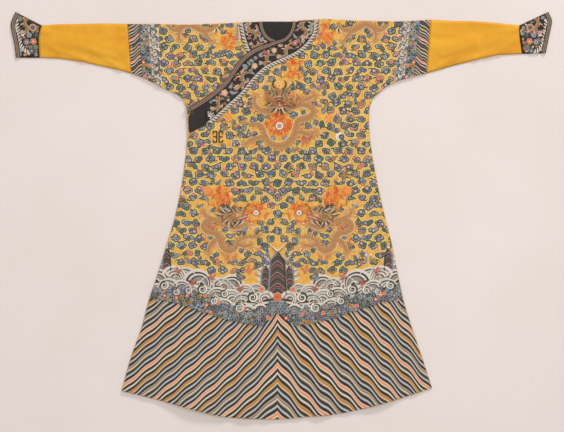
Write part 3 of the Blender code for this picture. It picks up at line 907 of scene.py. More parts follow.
# %% Laid on the cloth
def add_needlework(name, design, where, level, lie, slot_name):
    """The design as one piece, laid on the cloth whose top is at this level on these folds."""
    points, heights, faces, threads = design.merged()
    points, moved = drawn_back(points, where)
    outside = moved > 0
    keep = ~outside[faces].all(1) & (moved[faces] < FAR_OUT).all(1)
    faces, threads = faces[keep], threads[keep]
    faces, solid = turned_up(points, faces, 1e-3)
    faces, threads = faces[solid], threads[solid]
    used, faces = np.unique(faces, return_inverse=True)
    faces = faces.reshape(-1, 3)
    points, heights = points[used], heights[used]
    folds = lie_at(lie, points[:, 0], points[:, 1])
    placed = in_frame(points[:, 0], points[:, 1], level + folds + heights)
    numbers, kinds = np.unique(threads, return_inverse=True)
    names = list(FLOSS)
    piece = add_piece(name, placed, faces, [THREAD_MATERIALS[names[n]] for n in numbers], kinds.reshape(-1))
    STITCHED[name] = piece
    print(f"{name}: {len(faces)} triangles, {len(numbers)} threads")


def add_on_trim(kind, design, node, outline, inset=CUT_BACK):
    """Needlework on a band, binding or braid, kept in its outline."""
    lie, slot_name = next((lie, slot_name) for name, lie, _, slot_name, _ in TRIMS if name == node)
    where = region(outline, inset=inset)
    add_needlework(f"{node}_{kind}", design, where, TRIM_LEVELS[lie] + TRIM_WALL, lie, slot_name)

# %% The two outer fronts as one
def joined_fronts():
    """The outline of the two outer fronts as one, without the seam between them."""
    halves = []
    for node in ("front_overlap", "front_left"):
        outline = outline_of(node)
        at_seam = np.abs(outline[:, 0]) < 1.0
        first = np.flatnonzero(at_seam & ~np.roll(at_seam, -1))[0] + 1
        outline, at_seam = np.roll(outline, -first, 0), np.roll(at_seam, -first)
        halves.append(outline[~at_seam])
    return np.vstack(halves)


OUTER_REGION = region(
    smoothed(joined_fronts(), 12.0), ["collar_outer", "braid_outer", "binding_outer", "overlap_block"]
)
INNER_REGION = region(
    smoothed(outline_of("front_inner"), 12.0),
    ["front_overlap", "binding_outer", "binding_inner", "collar_inner", "braid_inner"],
)
ON_OUTER = (OUTER_REGION, OUTER_LEVEL + WALL, "outer", "worked_silk")
ON_INNER = (INNER_REGION, INNER_LEVEL + WALL, "inner", "worked_silk")
print("joined fronts:", len(OUTER_REGION["outline"]), "points")

# %% [markdown]
# ## Standing water at the hem
# The diagonal bands at the hem stand for deep water. Twenty bands in coral, ochre, taupe, dark and pale
# thread repeat every 175 mm. They meet in a point at the centre seam, and each one waves a little and
# narrows on its way down to the side.

# %% Bands of water
BANDS_OF_WATER = (  # thread and relative width
    ("shell", 17), ("salmon", 27), ("cream", 16), ("pine", 40), ("bone", 27), ("night", 39), ("gold", 12),
    ("ochre", 28), ("shell", 18), ("pine", 40), ("sky", 27), ("night", 39), ("taupe", 20), ("brown", 7),
    ("dove", 12), ("cream", 13), ("taupe", 15), ("pine", 40), ("sky", 27), ("night", 39),
)
HEM_PERIOD, HEM_START = 175.0, 1043.5
HEM_FALLS = {  # slope, extra fall near the seam, and over how far
    1: (0.88, 60.0, 120.0), -1: (0.80, 78.0, 70.0),
}
HEM_NARROWS = {1: (0.2, 456), -1: (0.25, 75)}  # share of the width that is lost, and over how far
WAVE_LENGTH, WAVE_AT, WAVES = 72.0, 61.0, {1: 0.46, -1: 0.22}
HEM_TOP = ((0, 1024), (40, 1058), (61, 1074), (200, 1044), (300, 1010), (378, 985), (560, 955))
BAND_STEP, HEM_FOOT, HEM_REACH = 9.0, 1445, 594


def fall(reach, side):
    """How far a hem band has come down at this distance from the centre seam."""
    wave = WAVES[side] * WAVE_LENGTH / (2 * math.pi)
    turn = 2 * math.pi / WAVE_LENGTH
    slope, extra, over = HEM_FALLS[side]
    return (
        slope * reach + extra * (1 - np.exp(-reach / over))
        + wave * (np.sin(turn * (reach - WAVE_AT)) + math.sin(turn * WAVE_AT))
    )


def closing(reach, side):
    """How much of their width the hem bands keep at this distance from the centre seam."""
    lost, over = HEM_NARROWS[side]
    if side > 0:
        return 1 - lost * reach / over
    return 1 - lost * (1 - np.exp(-reach / over))

# %% Bands from edge to edge
def band_edges(start, period, low, high, bands=BANDS_OF_WATER):
    """The places where one band gives way to the next, with each band's thread."""
    total = sum(width for _, width in bands)
    at = start - period * math.ceil((start - low) / period)
    edges, threads = [at], []
    while at < high:
        for thread, width in bands:
            at += period * width / total
            edges.append(at)
            threads.append(thread)
    return np.array(edges), threads


def add_bands(design, edges, threads, place, reaches, lift=0.12):
    """A sheet of stitched bands: a row of points at each edge and one, raised, along each middle."""
    rows, heights = [], []
    for edge, following in zip(edges, edges[1:]):
        for value, high in ((edge, 0.0), ((edge + following) / 2, 0.28)):
            rows.append(place(np.full_like(reaches, value), reaches))
            heights.append(lift + high)
    rows_sheet(design, rows, heights, np.repeat(threads, 2))

# %% Water at the hem
hem_bands = Design()
hem_edges, hem_threads = band_edges(HEM_START, HEM_PERIOD, 120.0, 1440.0)
for side in (1, -1):
    def on_hem(value, reach):
        """Plan points of a band's edge on this side of the centre seam."""
        down = HEM_START + (value - HEM_START) * closing(reach, side) + fall(reach, side)
        return np.stack([side * reach, down], 1)
    add_bands(hem_bands, hem_edges, hem_threads, on_hem, np.arange(0, HEM_REACH, BAND_STEP))
hem_bands.keep_where(lambda m: (m[:, 1] > read_off(HEM_TOP, np.abs(m[:, 0]))) & (m[:, 1] < HEM_FOOT))
add_needlework("hem_bands", hem_bands, *ON_OUTER)

# %% [markdown]
# ## Dragons
# A dragon on such a robe has a scaled body, a mane, two horns and four legs with five claws each. The one
# on the chest faces the viewer, and the two above the sea are seen from the side. A body is one tapered
# strip along a curve, whose gold threads change from one small patch to the next, which reads as scales.
# Its belly is edged in cream thread, and its back carries a comb of fins. Scales, fins, claws and manes are
# drawn from the plain anatomy of the type. The course of each body and the places of heads, feet and pearls
# follow this one robe closely.

# %% Flames, claws and hair
STROKE_ROOM = 175  # square millimetres of a blaze to each stroke


def tongue(design, across, down, turn, size, thread="orange", glow="rim", lift=0.3, flip=1):
    """One curling tongue of flame, a darker stroke over a lighter one."""
    made = Design()
    line = ((0, 0), (5, -8), (2, -17), (9, -25))
    cord(made, line, (5.0, 7.6, 6.0, 2.6), glow, lift - 0.2)
    cord(made, line, (1.4, 3.1, 2.7, 0.8), thread, lift)
    cord(made, (line[1], (-2, -13), (-5, -19)), (2.4, 2.0, 0.8), thread, lift)
    design.place(made, across, down, turn, size, flip)


FLAMES = ("flame", "flame", "orange")


def blaze(design, across, down, wide, tall, draw, spare, lift=0.6, threads=FLAMES, glow="amber"):
    """A patch of flame or hair: strokes thrown in over a lighter thread, but kept off the spared rounds."""
    for k in range(int(wide * tall / STROKE_ROOM)):
        x, y = across + draw.uniform(-0.5, 0.5) * wide, down + draw.uniform(-0.5, 0.5) * tall
        turn, size = draw.uniform(-75, 75), draw.uniform(0.85, 1.35)
        outside = ((x - across) / wide * 2) ** 2 + ((y - down) / tall * 2) ** 2 > 1
        if outside or any(math.hypot(x - a, y - b - 10) < r for a, b, r in spare):
            continue
        thread, flip = draw.choice(threads), draw.choice((-1, 1))
        tongue(design, x, y + 10, turn, size, thread, glow, lift + 0.05 * (k % 4), flip)


def furred(design, patches, draw, lift, threads, glow):
    """Patches of loose fur: across, down, width and height."""
    for patch in patches:
        blaze(design, *patch, draw, (), lift, threads, glow)

# %% Rounds and flowers
def ball(design, across, down, radius, threads, lift=0.6, relief=0.6, count=16):
    """A round stitched in rings, the outer thread first."""
    shares = [1.0] + [0.86 * (1 - k / (len(threads) - 1)) for k in range(len(threads) - 1)]
    outline = round_outline(radius, count) + (across, down)
    banded(design, outline, list(zip(shares, threads)), lift, relief)


def bloom(design, across, down, radius, petal="coral", heart="rim", lift=1.1, petals=6):
    """A flower: round petals about a heart."""
    for k in range(petals):
        angle = 2 * math.pi * k / petals + 0.3
        at = (across + 0.58 * radius * math.cos(angle), down + 0.58 * radius * math.sin(angle))
        ball(design, *at, radius * 0.44, ("cream", petal, petal), lift + 0.02 * k, 0.4, 10)
    ball(design, across, down, radius * 0.34, (petal, heart, heart), lift + 0.4, 0.4, 10)

# %% Legs and claws
def claw_foot(design, across, down, turn, size=1.0, lift=1.0):
    """A foot with five spread claws, pointing up before it is turned."""
    made = Design()
    for spread in (-72, -36, 0, 36, 72):
        at = heading(spread - 90)
        bend = np.array([-at[1], at[0]]) * (4 if spread >= 0 else -4)
        toe = (at * 3, at * 11 + bend * 0.4, at * 17 + bend)
        claw = (at * 15 + bend * 0.8, at * 21 + bend * 1.6, at * 24 + bend * 2.6)
        cord(made, toe, (6.0, 5.0, 2.6), "gold", lift, 4.0)
        cord(made, claw, (3.6, 2.6, 0.8), "cream", lift + 0.2, 3.0)
    ball(made, 0, 0, 7.5, ("amber", "gold", "ginger"), lift + 0.1)
    design.place(made, across, down, turn, size)


LEG_TUFT = ((-150, "coral"), (-110, "ginger"), (-75, "gold"), (150, "ginger"), (110, "coral"), (70, "gold"))


def leg(design, line, turn, widths, size=1.0):
    """A leg from the body to its foot, with a tuft of flame at the joint."""
    middle = np.asarray(line[len(line) // 2], float)
    for k, (bend, thread) in enumerate(LEG_TUFT):
        root = middle + (3 * (k % 3) - 3, 4 - 3 * (k % 3))
        tongue(design, *root, turn + bend, size, thread, "blush", 0.25, 1 if bend < 0 else -1)
    shares = np.linspace(0, 1, len(line))
    scaled(design, line, np.interp(shares, np.linspace(0, 1, len(widths)), widths), 1.0, fins=False)
    claw_foot(design, *line[-1], turn, size, 1.2)

# %% Locks of hair
DARK_HAIR = ("ink", "bone", "slate", "cream")


def mane(design, across, down, spread, reach, count, lift, threads=DARK_HAIR, thick=4.6):
    """A fan of tapered locks between two angles, each one curling at its tip."""
    for k in range(count):
        at = heading(spread[0] + (spread[1] - spread[0]) * k / (count - 1))
        side = np.array([-at[1], at[0]]) * (1 if spread[1] > spread[0] else -1)
        root = np.array([across, down], float)
        line = (root + at * reach * 0.15, root + at * reach * 0.6 + side * 2, root + at * reach + side * 8)
        cord(design, line, (thick, thick * 0.9, 1.0), threads[k % len(threads)], lift + 0.05 * (k % 2), 4.0)


# %% A scaled body
SCALE_STEP = 3.4
FIN_THREADS = ("olive", "fawn", "umber", "ginger")


def scaled(design, line, widths, lift, fins=True, pair=("gold", "ginger")):
    """A scaled, tapered body along a line: its belly edged in cream, and a comb of fins along its back."""
    path = flowing(line, SCALE_STEP)
    shares = np.linspace(0, 1, len(path))
    half = np.interp(shares, np.linspace(0, 1, len(widths)), np.asarray(widths, float) / 2)
    along, normal = directions(path)
    low = max(lift - 0.5, SUNK)
    profile = [
        (-1.0, low, (pair[1], "cream")), (-0.86, 0.35, pair), (-0.5, 0.75, pair),
        (-0.17, 0.95, (pair[0], "umber")), (0.17, 0.95, pair), (0.5, 0.75, pair),
        (0.84, 0.35, "cream"), (1.0, low, "cream"),
    ]
    strip(design, path, half, profile, lift)
    for k in range(2, len(path) - 3, 3) if fins else ():
        root = path[k] - normal[k] * half[k] * 0.95
        tip = root - normal[k] * (3.5 + half[k] * 0.35) - along[k] * 3
        fin = (root, (root + tip) / 2 - along[k], tip)
        cord(design, fin, (5.0, 3.6, 0.8), FIN_THREADS[k // 3 % 4], lift - 0.1, 3.0)


# %% [markdown]
# The dragon on the chest holds its head over a flaming pearl, with its body looped under it. Its face is
# built up from overlapping rounds and strokes: a banded shield first, then horns, ears, brows, eyes,
# whiskers and beard, and at last the muzzle with its wrinkles.

# %% The dragon on the chest
chest = Design()
CHEST_BODY = (
    (28, 300), (55, 306), (86, 298), (117, 305), (128, 326), (108, 344), (76, 354), (67, 380), (57, 411),
    (34, 436), (6, 445), (-23, 436), (-43, 411), (-51, 384), (-66, 367), (-92, 368), (-116, 361),
    (-138, 363),
)
scaled(chest, CHEST_BODY, (20, 24, 26, 28, 30, 30, 27, 20, 12, 6), 1.0)
leg(chest, ((-30, 318), (-58, 318), (-82, 294), (-80, 270)), -8, (24, 22, 15), 1.1)
leg(chest, ((56, 296), (84, 284), (112, 276), (132, 264)), 58, (22, 20, 13), 1.1)
leg(chest, ((-36, 410), (-68, 416), (-96, 424), (-114, 438)), -128, (24, 20, 13), 1.1)
leg(chest, ((66, 396), (92, 398), (114, 404), (134, 396)), 82, (22, 19, 13), 1.1)
fire = random.Random(8)
FUR = ("gold", "amber", "coral", "ginger", "orange")
RED_FUR = ("coral", "ginger", "gold")
CHEST_FUR = (
    (-84, 296, 44, 78), (112, 274, 70, 36), (-96, 436, 72, 40), (112, 410, 60, 44), (-8, 452, 90, 22),
)
furred(chest, CHEST_FUR, fire, 0.2, FUR, "amber")
for wide in (104, 96):
    blaze(chest, 8, 370, wide, 82, fire, ((7, 374, 13),))
ball(chest, 7, 374, 16, ("slate", "white", "white", "steel", "blush", "rose"), 0.9)
for across in (-16, 27):
    ball(chest, across, 418, 9.5, ("slate", "steel", "mist", "violet"), 0.6)
furred(chest, ((58, 291, 62, 34), (104, 426, 52, 28)), fire, 1.7, RED_FUR, "salmon")

# %% Its face
CHEST_FACE = ((7, 246), (24, 247), (40, 255), (45, 271), (37, 290), (27, 308), (7, 320))
face = np.array(list(CHEST_FACE) + [(14 - x, y) for x, y in CHEST_FACE[-2:0:-1]], float)
HAIR = ("slate", "bone", "salmon", "gold", "cream", "dove", "fawn")
for around, reach in (((-66, 84), 50), ((-50, 70), 40)):
    mane(chest, 12, 280, around, reach, 14, 1.2, HAIR, 3.8)
    mane(chest, 2, 280, (180 - around[0], 180 - around[1]), reach, 14, 1.2, HAIR, 3.8)
CHEST_FACE_RINGS = ((1.0, "ginger"), (0.92, "cream"), (0.8, "fawn"), (0.6, "gold"), (0.35, "salmon"))
banded(chest, smoothed(face, 6.0), CHEST_FACE_RINGS, 1.9, 1.0)
blaze(chest, 7, 272, 84, 56, fire, (), 2.5, ("ginger", "fawn", "salmon", "gold"), "gold")
for sign in (-1, 1):
    def feature(points, widths, thread, lift):
        """A stroke on one side of the face, its points set out from the right side."""
        cord(chest, [(7 + sign * x, y) for x, y in points], widths, thread, lift)
    feature(((9, 246), (20, 236), (24, 222), (17, 209)), (6, 6, 5, 1.5), "ink", 2.2)
    feature(((11, 247), (23, 237), (28, 222)), (2.2, 2.2, 1), "bone", 2.3)
    for k in range(5):  # a bushy brow
        brow = ((8 + 5 * k, 264 - k), (12 + 7 * k, 256 - 2 * k), (19 + 8 * k, 249 - k))
        feature(brow, (3.4, 2.8, 0.8), ("slate", "bone")[k % 2], 3.6)
    ball(chest, 7 + sign * 16, 270, 5.2, ("ink", "bone", "ink"), 3.9, 0.6, 12)
    feature(((38, 264), (48, 256), (54, 262), (48, 272)), (8, 9, 6, 2), "salmon", 1.9)
    feature(((12, 304), (26, 300), (40, 306), (52, 298), (60, 304)), (3.4, 3.2, 2.6, 2, 1), "umber", 3.6)
    for k, thread in enumerate(("ink", "bone", "slate", "ash")):  # the beard
        lock = ((4 + 6 * k, 312 - k), (6 + 9 * k, 325 - 2 * k), (12 + 11 * k, 336 - 4 * k))
        feature(lock, (4.6, 4, 1), thread, 2.4)
    ball(chest, 7 + sign * 7, 295, 3.8, ("rose", "umber", "ink"), 4.4, 0.5, 10)
ball(chest, 7, 230, 17, ("rim", "gold", "amber", "rim", "amber", "orange"), 1.7)
NOSE_RINGS = ((1.0, "rose"), (0.84, "coral"), (0.5, "blush"))
banded(chest, round_outline(15, 14, squash=0.72) + (7, 298), NOSE_RINGS, 3.6, 0.7)
for k in range(4):  # wrinkles over the muzzle
    wrinkle = ((-4 - k, 288 - 5 * k), (7, 284 - 5 * k), (18 + k, 288 - 5 * k))
    cord(chest, wrinkle, (1.2, 2.6, 1.2), ("umber", "cream")[k % 2], 3.7)
add_needlework("chest_dragon", chest, *ON_OUTER)

# %% [markdown]
# The two dragons above the sea run inwards, each after a pearl in flames. One is drawn and then mirrored
# about the centre seam.

# %% The dragons above the sea
runner = Design()
RUNNER_BODY = (
    (-176, 704), (-200, 716), (-226, 708), (-252, 712), (-266, 734), (-250, 752), (-222, 758), (-205, 780),
    (-196, 806), (-172, 822), (-150, 810), (-138, 784), (-112, 772), (-84, 772), (-54, 762),
)
scaled(runner, RUNNER_BODY, (24, 23, 22, 23, 26, 30, 29, 25, 20, 15, 10, 5), 1.0)
leg(runner, ((-184, 716), (-166, 734), (-140, 738), (-112, 726)), 66, (23, 21, 13), 1.05)
leg(runner, ((-236, 704), (-254, 694), (-264, 682)), -44, (18, 15, 10), 0.95)
leg(runner, ((-220, 780), (-240, 800), (-248, 822)), -168, (22, 19, 12), 1.05)
leg(runner, ((-142, 796), (-120, 804), (-98, 800)), 84, (20, 17, 11), 1.0)
RUNNER_FUR = (
    (-264, 694, 34, 44), (-136, 744, 64, 34), (-244, 800, 40, 54), (-112, 812, 60, 26), (-270, 740, 24, 50),
)
furred(runner, RUNNER_FUR, fire, 0.2, FUR, "amber")
furred(runner, ((-222, 733, 54, 36), (-160, 834, 64, 24)), fire, 0.9, RED_FUR, "salmon")
blaze(runner, -218, 626, 96, 66, fire, ())
blaze(runner, -80, 684, 76, 70, fire, ((-77, 685, 12),))
ball(runner, -77, 685, 11, ("slate", "white", "white", "steel", "cream"), 1.2, 0.8, 14)

# %% Their heads
head = Design()
HEAD_SIZE, HEAD_AT = 1.28, np.array([-156, 692])  # the head is drawn small, then enlarged about this point
LOCKS = ("slate", "bone", "ginger", "ink", "gold", "cream", "umber")
mane(head, -172, 692, (170, 300), 36, 15, 1.3, LOCKS, 3.4)
mane(head, -164, 702, (175, 60), 26, 11, 1.6, LOCKS, 3.2)
RUNNER_FACE = (
    (-182, 694), (-176, 680), (-162, 673), (-148, 676), (-136, 684), (-122, 682), (-115, 690), (-120, 699),
    (-132, 701), (-142, 705), (-150, 712), (-164, 714), (-177, 708),
)
RUNNER_FACE_RINGS = ((1.0, "ginger"), (0.92, "gold"), (0.72, "ginger"), (0.5, "gold"), (0.3, "blush"))
banded(head, smoothed(np.array(RUNNER_FACE, float), 5.0), RUNNER_FACE_RINGS, 1.9, 0.9)
blaze(head, -164, 690, 34, 36, fire, (), 2.4, ("ginger", "umber", "fawn"), "gold")
HORNS_AND_JAW = (  # points, widths, thread and lift
    (((-166, 677), (-176, 668), (-188, 665), (-200, 668)), (3.6, 4, 3, 1), "slate", 3.2),
    (((-168, 681), (-180, 675), (-192, 676)), (3, 3.2, 1), "bone", 3.2),
    (((-117, 699), (-134, 704), (-148, 708)), (2, 5, 2), "rose", 2.9),
    (((-120, 697), (-134, 700), (-146, 706)), (1.6, 2.4, 1), "white", 3.2),
    (((-130, 684), (-122, 670), (-112, 662), (-104, 666)), (2.6, 2.6, 2, 0.8), "umber", 3.0),
)
for stroke in HORNS_AND_JAW[:2]:
    cord(head, *stroke)
for k in range(4):  # a bushy brow
    brow = ((-150 - 5 * k, 684 - k), (-154 - 6 * k, 677 - k), (-162 - 7 * k, 672))
    cord(head, brow, (2.8, 2.4, 0.8), ("slate", "bone")[k % 2], 3.5)
ball(head, -152, 688, 4.4, ("ink", "bone", "ink"), 3.6, 0.6, 12)
ball(head, -122, 688, 5.4, ("rose", "coral", "blush"), 2.9, 0.7, 12)
for stroke in HORNS_AND_JAW[2:]:
    cord(head, *stroke)
for k in range(4):  # the beard
    lock = ((-128 - 7 * k, 706 + k), (-134 - 7 * k, 716 + k), (-144 - 7 * k, 720 + k))
    cord(head, lock, (3, 2.8, 0.8), ("bone", "slate")[k % 2], 2.4)
runner.place(head, *(HEAD_AT * (1 - HEAD_SIZE)), size=HEAD_SIZE)

# %% Both of them
runners = Design()
runners.place(runner, 0, 0)
runners.place(runner, 0, 0, flip=-1)
DISC = ("flame", "apricot", "orange", "apricot", "orange", "apricot")
for side in (-1, 1):
    ball(runners, side * 252, 606, 15.5, DISC, 1.3, 0.4)
add_needlework("lower_dragons", runners, *ON_OUTER)

# %% [markdown]
# ## Shoulders and small signs
# Dragons also climb over both shoulders from the back, so that only their coils show along the top edge,
# with flames beside the collar. Between the clouds stand a few old court signs, such as the moon and a
# fret, and small blossoms fill what is left.

# %% Shoulders and signs
upper = Design()
SHOULDER_COIL = ((212, 6), (232, 26), (262, 34), (290, 22), (316, 10), (344, 22), (372, 30), (398, 10))
for side in (1, -1):
    half_design = Design()
    scaled(half_design, SHOULDER_COIL, (10, 20, 26, 28, 26, 24, 18, 8), 0.9)
    leg(half_design, ((262, 34), (250, 54), (236, 70)), -150, (20, 16, 10))
    leg(half_design, ((340, 20), (352, 44), (350, 64)), 170, (18, 14, 9), 0.9)
    mane(half_design, 222, 14, (150, 20), 30, 7, 0.9)
    for patch in ((172, 62, 62, 64), (62, 172, 56, 78), (170, 16, 40, 30))[:3 if side > 0 else 1]:
        blaze(half_design, *patch, fire, ())
    upper.place(half_design, 0, 0, flip=side)

# %% Foam beside the braid
def tuft(design, root, turns, reaches, widths, core, core_width, lift):
    """Foam that fans out from one point: pale strokes with a dark core."""
    for turn in turns:
        at = heading(turn)
        cord(design, [root + at * reach for reach in reaches], widths, "bone", lift, 4.0)
        cord(design, [root + at * reach for reach in core], (core_width, 1), "slate", lift + 0.4, 4.0)


def petals(design, across, downs, reach):
    """Pairs of foam petals from a line beside a braid, to the left where the reach is under nought."""
    for down in downs:
        for slope in (-0.5, 0.5):
            root = np.array([across, down + 6 * (slope > 0)])
            way = np.array([reach, abs(reach) * slope])
            cord(design, (root, root + way * 0.6, root + way), (5, 7.5, 3), "bone", 1.4, 4.0)
            cord(design, (root + way * 0.4, root + way * 0.85), (2.2, 1), "slate", 1.8, 4.0)


petals(upper, 138, range(0, 50, 14), 15)
petals(upper, -133, range(4, 70, 14), -17)

# %% Moon, fret and small signs
ball(upper, 222, 412, 15.5, ("cream", "white", "pearl", "white"), 0.9)
ball(upper, 229, 413, 10.5, ("steel", "slate", "steel"), 1.6, 0.4)
FRET = (
    ((4, 394), (4, 432)), ((4, 394), (17, 394)), ((4, 413), (17, 413)), ((4, 432), (17, 432)),
    ((17, 394), (17, 403)), ((17, 432), (17, 423)),
)
PATCH_SHARES = (-1, -0.6, -0.2, 0.2, 0.6, 1)
PATCH_PROFILE = [
    (share, 0.3 if abs(share) == 1 else 0.5, ("orange", "apricot", "amber")) for share in PATCH_SHARES
]
for sign in (-1, 1):  # a fret of two brackets back to back, patches of orange hatching, and two small signs
    for start, end in FRET:
        bar = [(-213 + sign * across, down) for across, down in (start, end)]
        cord(upper, bar, (4.4, 4.4), "ink", 0.9, 4.0)
    patch = (186, 345) if sign > 0 else (-175, 342)
    strip(upper, [(patch[0], patch[1] + y) for y in range(-15, 16, 5)], 11.5, PATCH_PROFILE, 0.9)
    vessel = [(325 + sign * 9, 838), (325 + sign * 7, 856), (325 + sign * 9, 862)]
    cord(upper, vessel, (9, 6, 10), "ash", 0.5, 4.0)
    ball(upper, 325 + sign * 9, 836, 5, ("white", "white", "ash"), 0.7)
    knot = [(-328 + sign * 8, 834), (-328 + sign * 3, 846), (-328 + sign * 10, 858), (-328 + sign * 4, 868)]
    cord(upper, knot, (4, 4, 4, 2), "ochre", 0.4, 5.0)
BRAID_END = np.array([-237, 348])
tuft(upper, BRAID_END, range(-60, 100, 32), (0, 9, 17), (8, 9, 3), (6, 14), 2.4, 0.7)
add_needlework("signs_outer", upper, *ON_OUTER)
add_needlework("signs_inner", upper, *ON_INNER)

# %% [markdown]
# ## Clouds
# Every cloud is a few round lobes, mostly with a curling tail. A line of yellow thread runs round each
# lobe, then a dark one, with a ring and a heart of other threads inside. The clouds stand in staggered
# rows, each one shifted and turned a little, with a wisp, bud or blossom between them. The rows are
# mirrored about the centre seam, as on the real robe, and a cloud near a dragon is made smaller, so that it
# just fits. What is still bare after that, as in the loops of a dragon, takes more clouds wherever one
# fits.

# %% Cloud shapes
CLOUD_SHAPES = (  # lobes as across, down and radius, then the tail
    (((-8, 2, 7), (0, -5, 8), (8, -1, 7), (1, 5, 8)), ((9, 5), (16, 9), (21, 5))),
    (((-8, -4, 7), (2, -6, 7), (8, 3, 6.5), (-3, 4, 8)), ((-9, 7), (-16, 10), (-21, 6))),
    (((-9, 0, 7.5), (0, -3, 8), (9, 2, 7)), ((13, 4), (19, 9), (23, 7))),
    (((-8, 5, 6.5), (-4, -4, 8), (5, -5, 7), (8, 4, 7), (0, 3, 6.5)), ((13, 7), (18, 11), (23, 8))),
    (((-6, -3, 7.5), (5, -4, 7), (5, 4, 7), (-4, 5, 7)), ()),
    (((-5, -2, 8), (5, -1, 7.5), (0, 4, 7)), ((5, 7), (12, 10), (18, 6))),
)
LOBES = (  # the edge of a lobe, the ring in it and its heart; a common one is listed twice
    ("ink", "steel", "slate"), ("ink", "steel", "slate"), ("ink", "steel", "mist"),
    ("ink", "mist", "slate"), ("ink", "mist", "steel"), ("ink", "teal", "fawn"), ("ink", "teal", "slate"),
    ("ink", "sedge", "slate"), ("ink", "violet", "slate"), ("ink", "violet", "shell"),
    ("ink", "steel", "salmon"), ("ink", "dove", "ink"), ("umber", "fawn", "umber"),
    ("ink", "violet", "steel"), ("umber", "salmon", "rose"),
)
LOBE_SHARES = (1.0, 0.72, 0.34)


def cloud(shape, draw):
    """One cloud: a straw line round ringed lobes, and a tapered dark tail."""
    made = Design()
    lobes, tail = shape
    for k, (across, down, radius) in enumerate(lobes):
        turn = draw.uniform(0, 2 * math.pi)
        outline = round_outline(radius, 9, 0.07, turn, draw.uniform(0.85, 1.0))
        banded(made, outline * (1 + 4.2 / radius) + (across, down), ((1.0, "straw"),), 0.46 + 0.02 * k, 0.02)
        drift = (0.2 * radius * math.cos(turn), 0.2 * radius * math.sin(turn))
        bands = list(zip(LOBE_SHARES, draw.choice(LOBES)))
        banded(made, outline * (1 + 1.6 / radius) + (across, down), bands, 0.66 + 0.24 * k, 0.14, drift)
    if tail:
        cord(made, tail, (4.8, 3.8, 2.6, 1.2)[:len(tail)], "ink", 0.6, 5.0, 0.2)
        cord(made, tail, (10.5, 9.0, 8.0, 6.0)[:len(tail)], "straw", 0.42, 6.0, 0.1)
    return made

# %% Between the clouds
def filler(draw):
    """What stands between clouds: a blossom, a bud, or a wisp over a paler one."""
    made, kind = Design(), draw.random()
    if kind < 0.12:
        bloom(made, 0, 0, 8, draw.choice(("coral", "rose", "salmon")), "rim", 0.4, 5)
    elif kind < 0.35:
        tongue(made, -2, 4, 0, 0.5, draw.choice(("coral", "rose", "orange", "umber")), "shell", 0.4)
    else:
        wisp = ((-9, 2), (-2, -4), (4, 3), (10, -2))
        cord(made, wisp, (4.0, 9.0, 8.0, 3.0), draw.choice(("peach", "shell", "apricot")), 0.08, 5.0, 0.2)
        vein = draw.choice(("coral", "salmon", "fawn", "blush", "cream"))
        cord(made, wisp[:3], (0.8, 3.2, 0.8), vein, 0.4, 5.0, 0.2)
    return made


# %% Where the clouds go
CLOUD_ACROSS, CLOUD_DOWN, CLOUD_SIZE, CLOUD_REACH = 43.0, 28.5, 1.12, 15.0
STANDS_PROUD = 0.9  # clouds keep off bodies, heads and flames, which are higher than this, not off loose fur
SEA_LINE = (
    (0, 802), (22, 815), (46, 885), (66, 885), (80, 868), (112, 872), (130, 930), (200, 910), (290, 885),
    (358, 872), (380, 815), (397, 792), (414, 815), (436, 870), (700, 870),
)
ARM_LINE = 452  # the sea across the arms starts here
OVER_SEA, OFF_DRAGON = 8, 5  # what a cloud leaves free
GAP_TRIES, GAP_LEAST, GAP_OVER = 3200, 6.5, 3.5
draw = random.Random(11)
stitched = [design.merged() for design in (chest, runners, upper)]
stitched = np.vstack([points[heights > STANDS_PROUD] for points, heights, _, _ in stitched])
cloud_places = []  # across, down, size, kind and turn


def above_the_sea(at):
    """Whether a cloud may stand here."""
    return at[1] < read_off(SEA_LINE, at[0]) - OVER_SEA and at[0] < ARM_LINE


def free_of(points, at):
    """How far a place is from the nearest of the points."""
    return float(np.hypot(*(points - at).T).min())

# %% Rows of clouds
for row, down in enumerate(np.arange(-22.0, 960.0, CLOUD_DOWN / 2)):
    for across in np.arange((CLOUD_ACROSS / 2, 0, 0, CLOUD_ACROSS / 2)[row % 4], 560.0, CLOUD_ACROSS):
        small = row % 2 == 1
        at = (across + (draw.uniform(-4, 4) if across else 0), down + draw.uniform(-4, 4))
        shape, turn = draw.choice(CLOUD_SHAPES), draw.uniform(-30, 30) + draw.choice((0, 180))
        flip = draw.choice((-1, 1))
        for side in (1, -1) if across else (1,):
            free = free_of(stitched, (side * at[0], at[1]))
            if above_the_sea(at) and free > OFF_DRAGON:
                size = 1.0 if small else CLOUD_SIZE * min((free + 4) / CLOUD_REACH, 1.0)
                kind = None if small else shape
                cloud_places.append((side * at[0], at[1], size, kind, side * turn, side * flip))
rounds = [(across, down, CLOUD_REACH * size) for across, down, size, shape, *_ in cloud_places if shape]
for _ in range(GAP_TRIES):  # what is still bare, as in the loops of a dragon, takes a cloud that just fits
    at, shape = (draw.uniform(2, 450), draw.uniform(0, 900)), draw.choice(CLOUD_SHAPES)
    turn = draw.uniform(0, 360)
    for side in (1, -1):
        here = np.array((side * at[0], at[1]))
        taken = np.array(rounds)
        beside = float((np.hypot(*(taken[:, :2] - here).T) - taken[:, 2]).min())
        room = min(beside, free_of(stitched, here))
        if above_the_sea(at) and room > GAP_LEAST:
            size = min((room + GAP_OVER) / CLOUD_REACH, 1.0)
            rounds.append((*here, CLOUD_REACH * size))
            cloud_places.append((*here, size, shape, turn, side))

